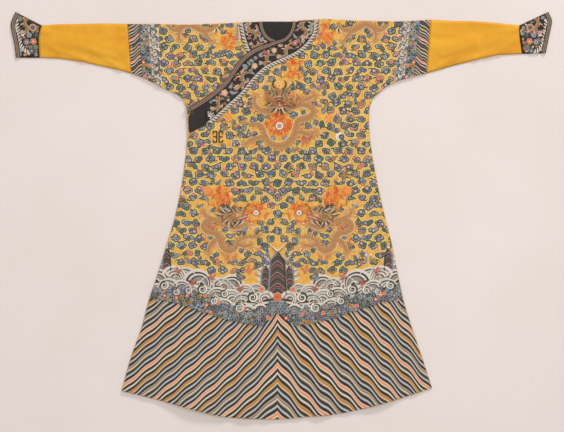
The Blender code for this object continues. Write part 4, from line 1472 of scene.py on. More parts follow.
# %% The clouds on the cloth
clouds = Design()
for across, down, size, shape, turn, flip in cloud_places:
    made = cloud(shape, draw) if shape else filler(draw)
    clouds.place(made, across, down, turn, size, flip)
print("clouds and fillers:", len(cloud_places))
add_needlework("clouds_outer", clouds, *ON_OUTER)
clouds.keep_where(lambda m: (m[:, 0] < 10) & (m[:, 1] < 640))  # the inner front shows no lower than this
add_needlework("clouds_inner", clouds, *ON_INNER)

# %% [markdown]
# ## The sea and its mountains
# Above the water the waves break: fans of pale arcs are the crests, spirals are the foam, and rounds of
# dark and light rings are the spray that falls in front. Mountains rise out of it at the centre and at both
# sides, each one a stack of pointed arches in earth colours with a pale glow round it. The parts are drawn
# for one half and mirrored, the farther ones first.

# %% Arches, spirals and mountains
CREST_COLOURINGS = (
    ("bone", "bone", "night", "pearl", "slate", "ash", "dove", "bone", "night", "taupe"),
    ("bone", "pearl", "dove", "bone", "sedge", "pearl", "brown", "ice", "dove", "salmon"),
    ("bone", "ice", "slate", "ice", "dove", "bone", "night", "taupe", "umber", "shell"),
)
CREST_SHARES = (1.0, 0.94, 0.82, 0.72, 0.61, 0.52, 0.40, 0.29, 0.20, 0.08)
CREST_LEAN = 0.55  # the arcs crowd together on the side that the wave falls to
SMALL_CREST = 31  # up to this radius, fewer arcs


def crest(design, across, down, radius, turn, lift, threads=CREST_COLOURINGS[0], spread=104):
    """A breaking wave: concentric arcs over a fan, the outer one raised."""
    angle = np.radians(np.linspace(-90 - spread, -90 + spread, 17) + turn)
    ring = np.stack([np.cos(angle), np.sin(angle) * 0.9], 1) * radius
    shares = CREST_SHARES
    if radius <= SMALL_CREST:
        shares, threads = (1.0, 0.93, 0.71, 0.56, 0.38, 0.2), threads[:3] + threads[5:8]
    lean = CREST_LEAN * radius * np.array([math.sin(math.radians(turn)), 0.35])
    rows = [ring * share + lean * (1 - share) + (across, down) for share in shares]
    rows.append(np.repeat([lean + (across, down)], len(angle), 0))
    heights = [max(lift - 0.5, SUNK), lift + 0.35] + [lift + 0.12 * (k % 2) for k in range(len(rows) - 2)]
    rows_sheet(design, rows, heights, threads)


def spiral(design, across, down, radius, flip, lift):
    """A curl of white foam on a dark round."""
    ball(design, across, down, radius * 1.06, ("slate", "slate", "slate"), lift - 0.3, 0.1, 16)
    angle = np.linspace(0.4, 1.7 * 2 * np.pi, 26)
    reach = radius * (0.12 + 0.78 * angle / angle[-1])
    line = np.stack([across + flip * reach * np.cos(angle), down + reach * np.sin(angle)], 1)
    half = np.linspace(1.0, radius * 0.19, len(line))
    edge = lift - 0.25
    strip(design, line, half, ((-1, edge, "white"), (0, 0.35, "white"), (1, edge, "white")), lift)

# %% Mountains
MOUNTAIN_THREADS = (
    "night", "umber", "pine", "slate", "night", "sedge", "night", "rose", "night", "pine", "dove", "umber",
)
GLOW_STEP = 6.5


def mountain(design, across, base, half, tall, lift, bare=20):
    """A peak: pointed arches stacked up, a pale edge, and a glow of stitches above what is bare."""
    rise, step, foot = half * 0.75, 3.3, 6
    count = int((tall - rise) / step)
    shares = np.linspace(-1, 1, 9)
    rows, heights = [], []
    for k in range(-foot, count + 1):
        up = max(k / count, 0)
        wide = half * (1 - 0.22 * up) * (1 if up < 0.93 else 1 - (up - 0.93) * 5) * min(1, 1 + k / (foot + 1))
        arch = base - k * step - rise * (1 - np.abs(shares) ** 1.3)
        rows.append(np.stack([across + shares * wide, arch], 1))
        heights.append(lift + 0.18 * (k % 2))
    heights[0] = heights[-1] = SUNK
    rows_sheet(design, rows, heights, MOUNTAIN_THREADS)
    for sign in (-1, 1):
        side = [row[0 if sign < 0 else -1] for row in rows[foot::3]] + [(across, base - tall)]
        edge = "steel" if sign * (across or -1) > 0 else "ink"
        cord(design, side, (4.4, 4.2, 3.6), edge, lift + 0.15, 6.0)
        outer = [(x + sign * 2.6, y - 1.2) for x, y in side]
        cord(design, outer, (3.4, 3.4, 2.8), "ash", lift - 0.2, 6.0)
        if across * sign < 0:
            continue
        for k in range(int(bare / GLOW_STEP), int(tall / GLOW_STEP)):
            up = k * GLOW_STEP
            root = np.array([across + sign * half * (1 - 0.22 * up / tall) + sign * 4, base - up])
            reach = 21 if k % 2 else 14
            tip = root + (sign * reach, -reach * 0.55)
            thread = ("white", "pearl", "ash")[k % 3]
            cord(design, (root, (root + tip) / 2, tip), (5.4, 3.8, 0.9), thread, 0.5, 5.0)
    for sign in (-1, 1):
        top = np.array([across, base - tall])
        ray = (top, top + (sign * 12, -12), top + (sign * 26, -25))
        shadow = (top + (sign * 4, 2), top + (sign * 15, -8), top + (sign * 25, -18))
        cord(design, ray, (4.5, 3, 0.8), "white", 0.5, 5.0)
        cord(design, shadow, (2.6, 2, 0.8), "slate", 0.7, 5.0)


def sprig(design, across, down, size, flip, lift):
    """A branch of red coral."""
    for dx, dy, turn in ((0, 0, 0), (3, -7, 48), (-1, -9, -46), (2, -14, 16)):
        at = (across + dx * size * flip, down + dy * size)
        tongue(design, *at, turn * flip, 0.62 * size, "coral", "salmon", lift, flip)


# %% The sea at the hem
SEA_TOP = (
    (0, 962), (40, 948), (70, 935), (102, 952), (135, 930), (170, 908), (211, 935), (255, 905), (300, 895),
    (345, 880), (400, 870), (560, 850),
)
SEA_FOOT = (
    (0, 1040), (40, 1073), (61, 1089), (110, 1082), (200, 1061), (300, 1027), (378, 1002), (560, 968),
)
FAR_CRESTS = (
    (424, 924, 44, 34), (372, 914, 46, -30), (330, 914, 40, 26), (288, 934, 54, -34), (240, 948, 44, 30),
    (200, 948, 36, -36), (160, 944, 44, 26), (118, 972, 38, -30), (74, 966, 32, 34),
)
NEAR_CRESTS = (
    (430, 966, 34, -24), (390, 954, 40, 38), (346, 956, 36, -36), (304, 980, 44, 34), (256, 984, 38, -40),
    (214, 984, 38, 32), (168, 994, 42, -34), (122, 1004, 38, 36), (84, 1008, 32, -38), (40, 990, 30, 24),
)
FOAM = (
    (404, 944, 16), (362, 968, 13), (268, 958, 18), (228, 1000, 14), (190, 974, 14), (136, 1024, 18),
    (88, 988, 19), (318, 962, 14),
)
THIRD_CRESTS = (
    (410, 985, 26, 36), (330, 990, 28, -38), (284, 1004, 32, 40), (232, 1016, 30, -40), (190, 1022, 34, 42),
    (146, 1032, 30, -38), (104, 1040, 30, 40), (62, 1032, 26, -30),
)
SPRAY_THREADS = (
    ("ink", "mist", "ink"), ("ink", "teal", "ink"), ("ink", "steel", "ink"), ("ink", "dove", "ink"),
    ("ink", "violet", "slate"), ("ink", "sedge", "ink"), ("ink", "dove", "fawn"), ("ink", "steel", "mist"),
)
BUDS = (("ink", "coral", "shell"), ("umber", "ochre", "umber"), ("brown", "salmon", "coral"))

CREST_ROWS = ((FAR_CRESTS, 0.75, 0.12), (NEAR_CRESTS, 1.25, 0.12), (THIRD_CRESTS, 1.6, 0.1))
SPRIGS = (  # across, down, size, lift
    (96, 905, 1.3, 1.0), (352, 905, 1.0, 2.2), (232, 928, 1.1, 2.2), (300, 948, 1.0, 2.2),
    (132, 968, 1.0, 2.2),
)
SPRAY_STEP, SPRAY_ROW, SPRAY_ROWS, SPRAY_COLUMNS = 13.0, 11.0, 6, 36
SPRAY_DEPTH = ((0, 34), (60, 56), (200, 52), (300, 58), (400, 48), (480, 40))
BUD_SHARE = 0.07

# %% The sea, farther parts first
sea = Design()
for side in (1, -1):
    reaches = np.arange(0, 480, 12.0)
    top, foot = read_off(SEA_TOP, reaches), read_off(SEA_FOOT, reaches)
    ground = [np.stack([side * reaches, top + (foot - top) * share], 1) for share in np.linspace(0, 1, 17)]
    rows_sheet(sea, ground, [SUNK] + [0.3] * 16, ("night", "dove", "ink", "bone"))
    mountain(sea, side * 44, 946, 14, 72, 0.5)
    mountain(sea, side * 397, 892, 15, 80, 0.5)
    for first, (table, lift, more) in enumerate(CREST_ROWS):
        for k, (reach, down, radius, turn) in enumerate(table):
            threads = CREST_COLOURINGS[(k + first) % 3]
            crest(sea, side * reach, down, radius, side * turn, lift + more * (k % 2), threads)
    for reach, down, radius in FOAM:
        spiral(sea, side * reach, down, radius, side, 2.2)
    for reach, down, size, lift in SPRIGS:
        sprig(sea, side * reach, down, size, side, lift)
mountain(sea, 0, 975, 31, 152, 0.9, 100)

# %% Spray
spray = random.Random(5)
for side in (1, -1):
    for row, k in np.ndindex(SPRAY_ROWS, SPRAY_COLUMNS):
        reach = 6 + SPRAY_STEP * k + SPRAY_STEP / 2 * (row % 2)
        down = float(read_off(SEA_FOOT, reach)) - 5 - row * SPRAY_ROW + spray.uniform(-2.5, 2.5)
        if row * SPRAY_ROW > float(read_off(SPRAY_DEPTH, reach)) + spray.uniform(-12, 8):
            continue
        bud = spray.random() < BUD_SHARE
        threads = spray.choice(BUDS if bud else SPRAY_THREADS)
        size = spray.uniform(7.5, 10) if bud else spray.uniform(6.6, 8.2)
        lift = 2.2 + 0.12 * (5 - row) + 0.06 * (k % 2) + 0.3 * bud
        ball(sea, side * reach + spray.uniform(-2, 2), down, size, threads, lift, 0.5, 10)
bloom(sea, 0, 986, 17, "coral", "ginger", 3.6, 7)
for side in (1, -1):
    bloom(sea, side * 56, 958, 12, "salmon", "rose", 2.6, 6)
for row in range(4):  # the rounds under the middle bloom
    for k in range(-2 - row // 2, 3 + row // 2):
        at = (k * 13 + 6.5 * (row % 2), 1008 + 10 * row)
        ring = ("steel", "mist", "steel", "dove")[(k + row) % 4]
        ball(sea, *at, 7.6, ("ink", ring, "slate"), 3.3 - 0.12 * row, 0.4, 10)
add_needlework("sea_and_mountains", sea, *ON_OUTER)

# %% [markdown]
# ## The sleeve ends
# Where the worked silk of the body meets the plain sleeve, a narrow sea runs across the arm: bands of water
# at the seam, then spray and foam that break towards the neck.

# %% Water across the arms
ARM_WATER = {1: ((549, 0), (538, 100), (528, 190)), -1: ((-538, 8), (-530, 100), (-522, 190))}
ARM_PERIOD, ARM_FALL, ARM_BANDS_WIDE, ARM_FROM, ARM_RIPPLE = 82.0, 0.74, 50.0, 470, 2.2
ARM_BANDS = (
    ("salmon", 34), ("bone", 14), ("night", 32), ("bone", 18), ("night", 30), ("brown", 20), ("night", 28),
    ("ice", 20), ("pine", 32), ("ochre", 24), ("bone", 12), ("night", 32), ("ice", 20), ("night", 30),
    ("taupe", 20), ("pine", 30),
)
ARM_DROPS = ((47, 0), (57, 9), (66, 0), (48, 14), (67, 15))  # inwards from the seam, and down
ARM_CRESTS = range(-24, 215, 26)  # how far down each pair of crests is

# %% The sea on one arm
def arm_sea(side):
    """The sea across one arm, from the seam inwards."""
    made = Design()
    seam = [(down, abs(across)) for across, down in ARM_WATER[side]]

    def on_arm(value, reach):
        """Plan points of a band's edge on this arm."""
        down = value + ARM_FALL * reach + ARM_RIPPLE * np.sin(reach / 5.5)
        return np.stack([side * (ARM_FROM + reach), down], 1)

    edges, threads = band_edges(-60.0, ARM_PERIOD, -160.0, 320.0, ARM_BANDS)
    add_bands(made, edges, threads, on_arm, np.arange(0, 92, 3.5))
    made.keep_where(lambda m: read_off(seam, m[:, 1]) - np.abs(m[:, 0]) < ARM_BANDS_WIDE)
    drops = random.Random(3)
    for k, down in enumerate(ARM_CRESTS):
        edge = float(read_off(seam, down))
        more = 0.1 * (k % 2)
        crest(made, side * (edge - 84), down + 6, 25, (-115 if k % 2 else -60) * side, 0.6 + more, spread=98)
        crest(made, side * (edge - 66), down - 6, 22, (-55 if k % 2 else -110) * side, 0.9 + more, spread=98)
        spiral(made, side * (edge - 90), down + 12, 8, side, 1.5)
        for column, (off, shift) in enumerate(ARM_DROPS):
            bud = drops.random() < 0.12
            threads = drops.choice(BUDS if bud else SPRAY_THREADS)
            ball(made, side * (edge - off), down + shift, 8.8, threads, 1.5 - 0.1 * column, 0.5, 11)
    return made


add_needlework("arm_sea_left", arm_sea(1), *ON_OUTER)
add_needlework("arm_sea_right", arm_sea(-1), *ON_INNER)

# %% [markdown]
# ## Collar, cuffs and braid
# The collar band and the cuffs are worked on a dark ground, finer than the body: small dragons in fawn and
# brown, clouds in grey, teal and violet, blossoms and buds. Between the collar and the body runs a braid
# that looks like a twisted rope: a pale line with tapered pale strokes that slant away from it. The cuffs
# carry the same rope inside their binding. Each motif is one small drawing, set down many times.

# %% Small motifs
SMALL_BODY = ((-26, 10), (-16, 16), (-4, 12), (2, 0), (12, -8), (24, -4), (32, 6))
SMALL_LEGS = (
    ((-12, 14), (-18, 22), (-26, 22)), ((4, -4), (-2, -14), (-10, -16)), ((16, -7), (20, -16), (28, -18)),
    ((-4, 12), (4, 20), (12, 20)),
)


def small_dragon(draw):
    """A little dragon in a loose curl: body, feet, locks and head."""
    made = Design()
    scaled(made, SMALL_BODY, (5, 10, 12, 12, 11, 8, 3), 0.6, pair=("fawn", "brown"))
    for line in SMALL_LEGS:
        cord(made, line, (5, 4, 1.5), ("salmon", "shell")[draw.random() < 0.5], 0.4, 4.0)
    for turn in (150, 185, 220, 255):
        tip = (-28, 6) + heading(turn) * (14, 13)
        lock = ((-27, 8), ((tip[0] - 27) / 2, (tip[1] + 8) / 2 + 1), tip)
        cord(made, lock, (4, 3, 1), draw.choice(("bone", "white", "steel")), 0.5, 5.0)
    ball(made, -28, 7, 7.5, ("shell", "fawn", "salmon", "brown"), 1.0, 0.6, 11)
    ball(made, -30, 5, 2.4, ("ink", "white"), 1.7, 0.2, 8)
    return made

# %% A small cloud, blossom and bud
SMALL_LOBES = (("mist", "steel", "ice"), ("mist", "teal", "ice"), ("dove", "violet", "mist"))


def small_cloud(draw):
    """A cloud for a dark ground, edged in a pale grey thread."""
    made = Design()
    lobes, tail = draw.choice(CLOUD_SHAPES[:5])
    bands = list(zip(LOBE_SHARES, draw.choice(SMALL_LOBES)))
    for k, (across, down, radius) in enumerate(lobes):
        drift = (draw.uniform(-2, 2), draw.uniform(-2, 2))
        banded(made, round_outline(radius, 11) + (across, down), bands, 0.4 + 0.1 * k, 0.4, drift)
    if tail:
        cord(made, tail, (5, 4, 3, 1)[:len(tail)], "mist", 0.3, 6.0)
    return made


def small_bloom(draw):
    """A blossom with two leaves."""
    made = Design()
    for sign in (-1, 1):
        leaf = ((0, 0), (sign * 10, -7), (sign * 20, -4))
        cord(made, leaf, (3, 8, 1), draw.choice(("teal", "moss")), 0.3, 5.0)
    bloom(made, 0, 0, 10, draw.choice(("blush", "rose", "salmon")), "rim", 0.7, 5)
    return made


SMALL_BUDS = (
    ("cream", "salmon", "coral"), ("mist", "slate", "ice"), ("gold", "umber", "gold"),
    ("blush", "brown", "rose"), ("teal", "mist", "slate"),
)


def small_bud(draw):
    """A round bud, or the head of a curl."""
    made = Design()
    threads = draw.choice(SMALL_BUDS)
    ball(made, 0, 0, 6.0, threads, 0.5, 0.4, 10)
    cord(made, ((4, 2), (10, 7), (15, 4)), (3, 2.4, 0.8), threads[0], 0.4, 5.0)
    return made

# %% Filling a ground with motifs
def fill_with_motifs(made, outline, draw, taken, kinds, edge=5.0):
    """Motifs thrown into an outline until it is full: (maker, reach, size, tries), the largest first."""
    low, high = outline.min(0), outline.max(0)
    for maker, reach, size, tries in kinds:
        for _ in range(tries):
            spot = np.array([draw.uniform(low[0], high[0]), draw.uniform(low[1], high[1])])
            if any(math.hypot(spot[0] - x, spot[1] - y) < r + reach for x, y, r in taken):
                continue
            here = spot[None]
            if not inside(outline, here)[0] or nearest_on(outline, here)[1][0] < reach * 0.55 + edge:
                continue
            taken.append((*spot, reach))
            made.place(maker(draw), *spot, draw.uniform(0, 360), size, draw.choice((-1, 1)))


SMALL_KINDS = (  # maker, reach, size, tries
    (small_cloud, 10, 0.75, 300), (small_bloom, 7, 0.66, 60), (small_cloud, 7.5, 0.55, 900),
    (small_bloom, 6, 0.5, 160), (small_bud, 3.8, 0.8, 3000),
)

# %% Collar
COLLAR_DRAGONS = {  # across, down, turn, size
    "collar_outer": (
        (92, 26, -74, 1.0), (28, 108, -28, 0.95), (-40, 132, -30, 0.85), (-128, 206, -48, 1.1),
        (-214, 292, -38, 0.9),
    ),
    "collar_inner": ((-88, 34, 78, 1.05), (-72, 84, 20, 0.75)),
}
COLLAR_BLOOMS = {  # across, down, size
    "collar_outer": ((-12, 104, 1.0), (-82, 160, 1.1), (-190, 256, 1.25), (62, 78, 1.0)), "collar_inner": (),
}

# %% Needlework of the collar
def worked_band(node, seed):
    """The needlework of a collar band."""
    made, draw, taken = Design(), random.Random(seed), []
    outline = smoothed(outline_of(node), 10.0)
    for across, down, turn, size in COLLAR_DRAGONS[node]:
        made.place(small_dragon(draw), across, down, turn, size)
        taken += [(*((across, down) + heading(turn) * far), 13) for far in (-24, 0, 22)]
    for across, down, size in COLLAR_BLOOMS[node]:
        made.place(small_bloom(draw), across, down, draw.uniform(0, 360), size)
        taken.append((across, down, 12 * size))
    if node == "collar_outer":
        petals(made, 136, range(0, 50, 14), -26)
        taken += [(116, down, 12) for down in range(0, 60, 12)] + [(-240, 330, 18)]
        tuft(made, np.array([-244, 344]), range(-100, 40, 26), (3, 13, 23), (5, 7, 2.6), (9, 19), 2.2, 1.2)
    else:
        petals(made, -128, range(4, 46, 14), 20)
        taken += [(-112, down, 8) for down in range(0, 56, 12)]
    fill_with_motifs(made, outline, draw, taken, SMALL_KINDS)
    add_on_trim("needlework", made, node, outline)


worked_band("collar_outer", 21)
worked_band("collar_inner", 22)

# %% Twisted braid
ROPE_PITCH, ROPE_LEAN = 11.6, 11
BRAIDS = {
    "braid_outer": (
        (138, -5), (134, 41), (106, 84), (66, 116), (13, 141), (-38, 165), (-81, 204), (-127, 260),
        (-174, 303), (-220, 345), (-249, 367),
    ),
    "braid_inner": ((-131, 6), (-123, 52), (-108, 98), (-100, 112)),
}


def rope(design, line, half, pitch, side, lift, thick, edge_thick):
    """Tapered strokes that slant across a band from a line along one side of it."""
    path = flowing(line, 1.0)
    along, normal = directions(path)
    normal = side * normal
    for k in np.arange(2, len(path), pitch).astype(int):
        start, back = path[k] - normal[k] * half * 0.7, min(max(k - ROPE_LEAN, 0), len(path) - 1)
        end = path[back] + normal[back] * half * 0.95
        middle = (start + end) / 2 - along[k] * 1.2
        cord(design, (start, middle, end), (thick * 0.8, thick, thick * 0.4), "bone", lift, 4.0)
    inner = path[::6] - normal[::6] * half * 0.62
    cord(design, inner, (edge_thick, edge_thick), "bone", lift + 0.15, 6.0)


for node, turned in (("braid_outer", -1), ("braid_inner", 1)):
    twist = Design()
    rope(twist, BRAIDS[node], 8.4, ROPE_PITCH, turned, 0.25, 5.6, 2.0)
    add_on_trim("rope", twist, node, smoothed(outline_of(node), 8.0), 0.6)

# %% Bound edges
RIBS = (  # share of the way across, thread, width
    (0.1, "night", 2.4), (0.3, "taupe", 1.7), (0.5, "umber", 2.4), (0.7, "taupe", 1.7), (0.9, "night", 2.4),
)


def long_sides(outline, count):
    """The two long sides of a strip, point for point from the same end."""
    sharp, sides = corners_of(outline), []
    for start, end in zip(sharp, np.roll(sharp, -1)):
        run = outline[(start + np.arange((end - start - 1) % len(outline) + 2)) % len(outline)]
        far = np.concatenate([[0], np.cumsum(np.hypot(*np.diff(run, axis=0).T))])
        at = np.linspace(0, far[-1], count)
        sides.append((far[-1], np.stack([np.interp(at, far, run[:, k]) for k in (0, 1)], 1)))
    (_, one), (_, other) = sorted(sides, key=lambda side: side[0])[-2:]
    return one, other[::-1]


for node in ("binding_outer", "binding_inner", "cuff_binding_right", "cuff_binding_left"):
    ribs, outline = Design(), outline_of(node)
    one, other = long_sides(outline, 40)
    for share, thread, width in RIBS:
        cord(ribs, one * (1 - share) + other * share, (width, width), thread, 0.1, 9.0, 0.2)
    print(f"{node}: {np.hypot(*(one - other).T).mean():.1f} mm wide")
    add_on_trim("ribs", ribs, node, smoothed(outline, 8.0), 0.4)

# %% Cuffs
CUFF_MIDDLE = 14.0
CUFF_ROPE = ((-935, -6), (-931, 34), (-925, 66), (-917, 90), (-901, 106), (-880, 112))
CUFF_ROUNDS = (  # across on the right cuff, down, radius, threads
    (-898, 74, 11, ("mist", "slate", "ice", "slate")), (-889, 49, 10, ("ash", "steel", "mist", "slate")),
    (-866, 92, 9, ("teal", "moss", "teal")), (-880, 106, 10, ("violet", "slate", "mist")),
    (-864, 50, 9, ("teal", "pine", "teal")), (-912, 48, 6, ("cream", "white", "bone")),
)
CUFF_TAKEN = (  # what the small motifs keep off: across on the right cuff, down and radius
    (-903, 14, 20), (-876, 22, 13), (-874, 72, 15), (-898, 74, 10), (-889, 49, 10), (-866, 92, 9),
    (-880, 106, 9), (-864, 50, 9), (-931, 20, 10), (-928, 50, 10), (-918, 86, 10), (-900, 106, 10),
    (-934, 0, 10),
)
CUFF_KINDS = ((small_cloud, 7.5, 0.5, 500), (small_bloom, 6, 0.45, 300), (small_bud, 3.6, 0.75, 2200))

# %% Needlework of the cuffs
def worked_cuff(side):
    """The needlework of one cuff, drawn for the right one and mirrored for the left."""
    made, draw = Design(), random.Random(31)
    outline = smoothed(outline_of(f"cuff_{side}"), 8.0)
    sign = -1 if side == "right" else 1

    def across_of(across):
        """The place on this cuff of one on the right cuff."""
        return across if side == "right" else 2 * CUFF_MIDDLE - across

    small = Design()
    small.place(small_dragon(draw), 0, 0, -62, 0.95)
    made.place(small, across_of(-903), 14, 0, 1.0, -sign)
    ball(made, across_of(-876), 22, 14, ("gold", "gold", "violet", "ink", "violet"), 0.9, 0.5, 13)
    bloom(made, across_of(-874), 72, 12, "coral", "bone", 0.9, 5)
    for across, down, radius, threads in CUFF_ROUNDS:
        ball(made, across_of(across), down, radius, threads, 0.6, 0.5, 13)
    taken = [(across_of(across), down, radius) for across, down, radius in CUFF_TAKEN]
    fill_with_motifs(made, outline, draw, taken, CUFF_KINDS, 6.0)
    rope(made, [(across_of(across), down) for across, down in CUFF_ROPE], 9.0, 11.0, sign, 0.5, 6.4, 1.6)
    where = region(outline, [f"cuff_binding_{side}"], 2.5)
    add_needlework(f"cuff_{side}_needlework", made, where, TUBE_TOP, "inner", "dark_worked_silk")


worked_cuff("right")
worked_cuff("left")

# %% [markdown]
# ## Seam and toggles
# The centre seam is pressed flat, with the two halves' yellow silk meeting over it. The robe fastens with
# small gilt balls, each one caught by a loop of brown cord. A ball is turned as a fine surface of
# revolution with a seam and a collar where the shank enters, and the cord is laid from two strands twisted
# together.

# %% Centre seam
seam = Design()
cord(seam, [(0, y) for y in range(66, 1046, 28)], (4.6, 4.6), "yolk", 0.05, 7.0, 0.1)
add_needlework("centre_seam", seam, *ON_OUTER)

facing = Design()  # a strip of lining laid over the back's seam inside the neck
corners = np.array([(-13, 4), (13, 4), (13, 88), (-13, 88)], float)
banded(facing, corners, ((1.0, "lining"), (0.96, "lining")), 0.02, 0.0)
open_cloth = region(np.array([(-40, -20), (40, -20), (40, 100), (-40, 100)], float), inset=0.0)
add_needlework("neck_facing", facing, open_cloth, WALL, "flat", "worked_silk")
STITCHED["neck_facing"].data.materials[0] = LINING_SATIN

# %% Gilt balls and cord loops
TOGGLES = (  # the near and the far end of each loop
    (-321, 297, -304, 331), (-313, 409, -288, 404), (-346, 641, -320, 638),
)
BALL_RADIUS, SHANK, CORD_RADIUS, LOOP_HALF = 4.5, 1.3, 1.0, 2.9
BALL_SIDES, CORD_SIDES, STRANDS, TWIST_MM = 24, 7, 2, 3.0


def gilt_brass():
    """Fire-gilt brass, cast and worn: warm metal, brighter where hands have rubbed it."""
    made, tree, shader = start_material("gilt_brass_cast", {"Metallic": 1.0})
    wear = texture(tree, "Noise", {"Scale": 900.0, "Detail": 4.0})
    colour = ramped(tree, wear, ((0.3, "#8A6433"), (0.55, "#C39A4E"), (0.75, "#E0BE74")))
    tree.links.new(colour, shader.inputs["Base Color"])
    tree.links.new(ranged(tree, wear, 0.42, 0.24), shader.inputs["Roughness"])
    tree.links.new(raised(tree, wear, 0.3, 0.1), shader.inputs["Normal"])
    return made


def mottled(name, sockets, scale, detail, stops):
    """A matt material whose colour drifts between stops."""
    made, tree, shader = start_material(name, sockets)
    mottle = texture(tree, "Noise", {"Scale": scale, "Detail": detail})
    tree.links.new(ramped(tree, mottle, stops), shader.inputs["Base Color"])
    return made

# %% Twisted cord
def twisted_cord(route):
    """Points and triangles of a closed cord, of strands twisted round each other."""
    ahead = np.roll(route, -1, 0) - np.roll(route, 1, 0)
    ahead /= np.linalg.norm(ahead, axis=1)[:, None]
    aside = np.stack([-ahead[:, 1], ahead[:, 0], np.zeros(len(route))], 1)
    aside /= np.linalg.norm(aside, axis=1)[:, None]
    up = np.cross(ahead, aside)
    lengths = np.linalg.norm(np.roll(route, -1, 0) - route, axis=1)
    turns = max(1, round(lengths.sum() / TWIST_MM))
    phase = 2 * np.pi * turns * np.concatenate([[0], np.cumsum(lengths)[:-1]]) / lengths.sum()
    thick = CORD_RADIUS * 0.54
    angle = np.linspace(0, 2 * np.pi, CORD_SIDES, endpoint=False)[None, :, None]
    faces = ring_faces(len(route), CORD_SIDES, closed=True)
    points = []
    for strand in range(STRANDS):
        start = (phase + 2 * np.pi * strand / STRANDS)[:, None]
        middle = route + (CORD_RADIUS - thick) * (np.cos(start) * aside + np.sin(start) * up)
        ring = middle[:, None] + thick * (np.cos(angle) * aside[:, None] + np.sin(angle) * up[:, None])
        points.append(ring.reshape(-1, 3))
    return np.vstack(points), np.vstack([faces + strand * len(points[0]) for strand in range(STRANDS)])

# %% A ball on its shank
def add_ball_button(node, finish):
    """A gilt ball on its shank, turned in the place of the solid: foot, shank, and a ball with a seam."""
    low, high = (np.array(corner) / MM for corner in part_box(node))
    foot, top = low[2], high[2]
    middle = top - BALL_RADIUS
    angle = np.linspace(math.asin(SHANK / BALL_RADIUS), math.pi, 15)
    seam_line = 1 - 0.035 * np.exp(-((angle - math.pi / 2) / 0.12) ** 2)
    profile = [(2 * SHANK, foot), (2 * SHANK, foot + 0.25), (SHANK, foot + 0.8)]
    profile.append((SHANK * 0.95, middle - BALL_RADIUS * 1.02))
    for turn, share in list(zip(angle, seam_line))[:-1]:
        profile.append((BALL_RADIUS * math.sin(turn) * share, middle - BALL_RADIUS * math.cos(turn)))
    profile = np.array(profile)
    around = np.linspace(0, 2 * np.pi, BALL_SIDES, endpoint=False)
    centre = (low[:2] + high[:2]) / 2
    rings = np.stack([
        centre[0] + profile[:, :1] * np.cos(around), centre[1] + profile[:, :1] * np.sin(around),
        np.repeat(profile[:, 1:], BALL_SIDES, 1),
    ], -1)
    points = np.vstack([rings.reshape(-1, 3), [[*centre, foot], [*centre, top]]])
    at, last = np.arange(BALL_SIDES), (len(profile) - 1) * BALL_SIDES
    after, ends = (at + 1) % BALL_SIDES, len(points) - 2
    faces = np.vstack([
        ring_faces(len(profile), BALL_SIDES),
        np.stack([after, at, np.full(BALL_SIDES, ends)], 1),
        np.stack([last + at, last + after, np.full(BALL_SIDES, ends + 1)], 1),
    ])
    button = add_piece(f"{node}_gilt", points * MM, faces, [finish])
    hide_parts(node)

# %% A loop of cord
def add_cord_loop(node, near, far, finish):
    """A loop of cord between two plan points, laid at the height of its solid."""
    near, far = (np.array([across - MID_ACROSS, MID_DOWN - down]) for across, down in (near, far))
    along = (far - near) / np.hypot(*(far - near))
    aside = np.array([-along[1], along[0]])
    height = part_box(node)[1][2] / MM - CORD_RADIUS
    bend = np.linspace(-math.pi / 2, math.pi / 2, 9)
    sides = np.linspace(0, 1, 14)[1:-1]
    route = [far + LOOP_HALF * (along * math.cos(t) + aside * math.sin(t)) for t in bend]
    route += [route[-1] + (near + aside * LOOP_HALF - route[-1]) * s for s in sides]
    route += [near + LOOP_HALF * (-along * math.cos(t) - aside * math.sin(t)) for t in bend]
    route += [route[-1] + (route[0] - route[-1]) * s for s in sides]
    points, faces = twisted_cord(np.array([(*p, height) for p in route]))
    loop = add_piece(f"{node}_cord", points * MM, faces, [finish])
    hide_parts(node)

# %% The three toggles
BRASS = gilt_brass()
CORD_SILK = mottled(  # darker flecks at random: painted shade for the dips between the strands
    "brown_silk_cord_twisted", {"Roughness": 0.7, "Sheen Weight": 0.2}, 1400.0, 2.0,
    ((0.35, "#5A4228"), (0.65, "#8A6A42")),
)
for number, (*near, across, down) in enumerate(TOGGLES, 1):
    add_ball_button(f"button_{number}", BRASS)
    add_cord_loop(f"loop_{number}", near, (across, down), CORD_SILK)
print("buttons and loops:", 2 * len(TOGGLES))

# %% [markdown]
# ## Each sheet with what is stitched on it
# The needlework is fixed to the cloth, so each sheet is matched here with the pieces that it carries. The
# dragons and the water run across the centre seam, and so belong to both outer fronts.

# %% Sheets and their needlework
ON_BOTH = (
    "hem_bands", "chest_dragon", "lower_dragons", "signs_outer", "clouds_outer", "sea_and_mountains",
    "centre_seam",
)
CARRIED = {
    "front_overlap": ON_BOTH, "front_left": ON_BOTH + ("arm_sea_left",),
    "front_inner": ("signs_inner", "clouds_inner", "arm_sea_right"),
}
carrying = 0
for node, declared in {**WORKED_SHEETS, **FRONT_SHEETS}.items():
    names = CARRIED.get(node, [name for name in STITCHED if name.startswith(node)])
    declare(*declared, with_pieces=[STITCHED[name] for name in names])
    carrying += bool(names)
print("sheets with needlework:", carrying)

# %% [markdown]
# ## Floor, light and camera
# The robe is looked at from straight above. A long lens keeps both cuffs square to the view. The light is a
# wide soft box overhead, and a smaller, stronger one far off past the shoulders, to the right. That one
# stands low, so that it rakes over folds and stitches and gives them a light side and a dark side.

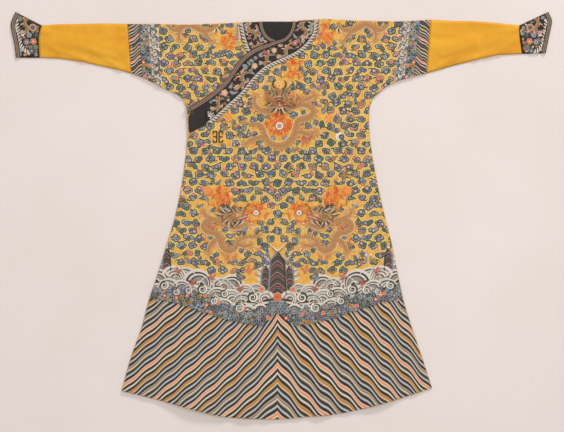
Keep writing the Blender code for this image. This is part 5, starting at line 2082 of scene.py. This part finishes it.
# %% Floor
FLOOR_SIZE, FLOOR_GAP = 14.0, 0.0006
BOARD = mottled(  # matt paint, nearly white, with the faintest mottling
    "pale_painted_board", {"Roughness": 0.9, "Specular IOR Level": 0.1}, 2.0, 3.0,
    ((0.3, "#E4DAD4"), (0.7, "#E9E0DB")),
)
floor_mesh = bpy.data.meshes.new("floor")
half = FLOOR_SIZE / 2
floor_mesh.from_pydata(
    [(x * half, y * half, -FLOOR_GAP) for x, y in ((-1, -1), (1, -1), (1, 1), (-1, 1))], [], [(0, 1, 2, 3)]
)
floor_mesh.materials.append(BOARD)
floor = bpy.data.objects.new("floor", floor_mesh)
bpy.context.scene.collection.objects.link(floor)

# %% Light
def add_area_light(name, at, aim, size, power, colour):
    """A square soft box that faces its aim."""
    data = bpy.data.lights.new(name, "AREA")
    data.size, data.energy, data.color = size, power, linear(colour)[:3]
    lamp = bpy.data.objects.new(name, data)
    lamp.location = at
    lamp.rotation_euler = (Vector(aim) - Vector(at)).to_track_quat("-Z", "Y").to_euler()
    bpy.context.scene.collection.objects.link(lamp)


add_area_light("soft_box", (0.25, 0.1, 4.6), (0.1, 0, 0), 4.8, 90.0, "#FFFCFC")
add_area_light("low_box", (3.2, 9.4, 3.6), (0, 0, 0), 1.6, 750.0, "#FFFCFA")
world = bpy.data.worlds.new("studio")
world.use_nodes = True
sky = world.node_tree.nodes["Background"]
sky.inputs["Color"].default_value, sky.inputs["Strength"].default_value = linear("#FBF8F6"), 0.5
bpy.context.scene.world = world
bpy.context.scene.view_settings.view_transform = "Standard"

# %% Camera
FRAME_WIDTH, SENSOR, LENS = 2.019, 36.0, 200.0
CAMERA_AT = (0.0021, -0.0008)
camera_data = bpy.data.cameras.new("camera")
camera_data.lens, camera_data.sensor_width = LENS, SENSOR
camera_data.clip_end = 100.0
camera = bpy.data.objects.new("camera", camera_data)
camera.location = (*CAMERA_AT, FRAME_WIDTH * LENS / SENSOR)
bpy.context.scene.collection.objects.link(camera)
bpy.context.scene.camera = camera
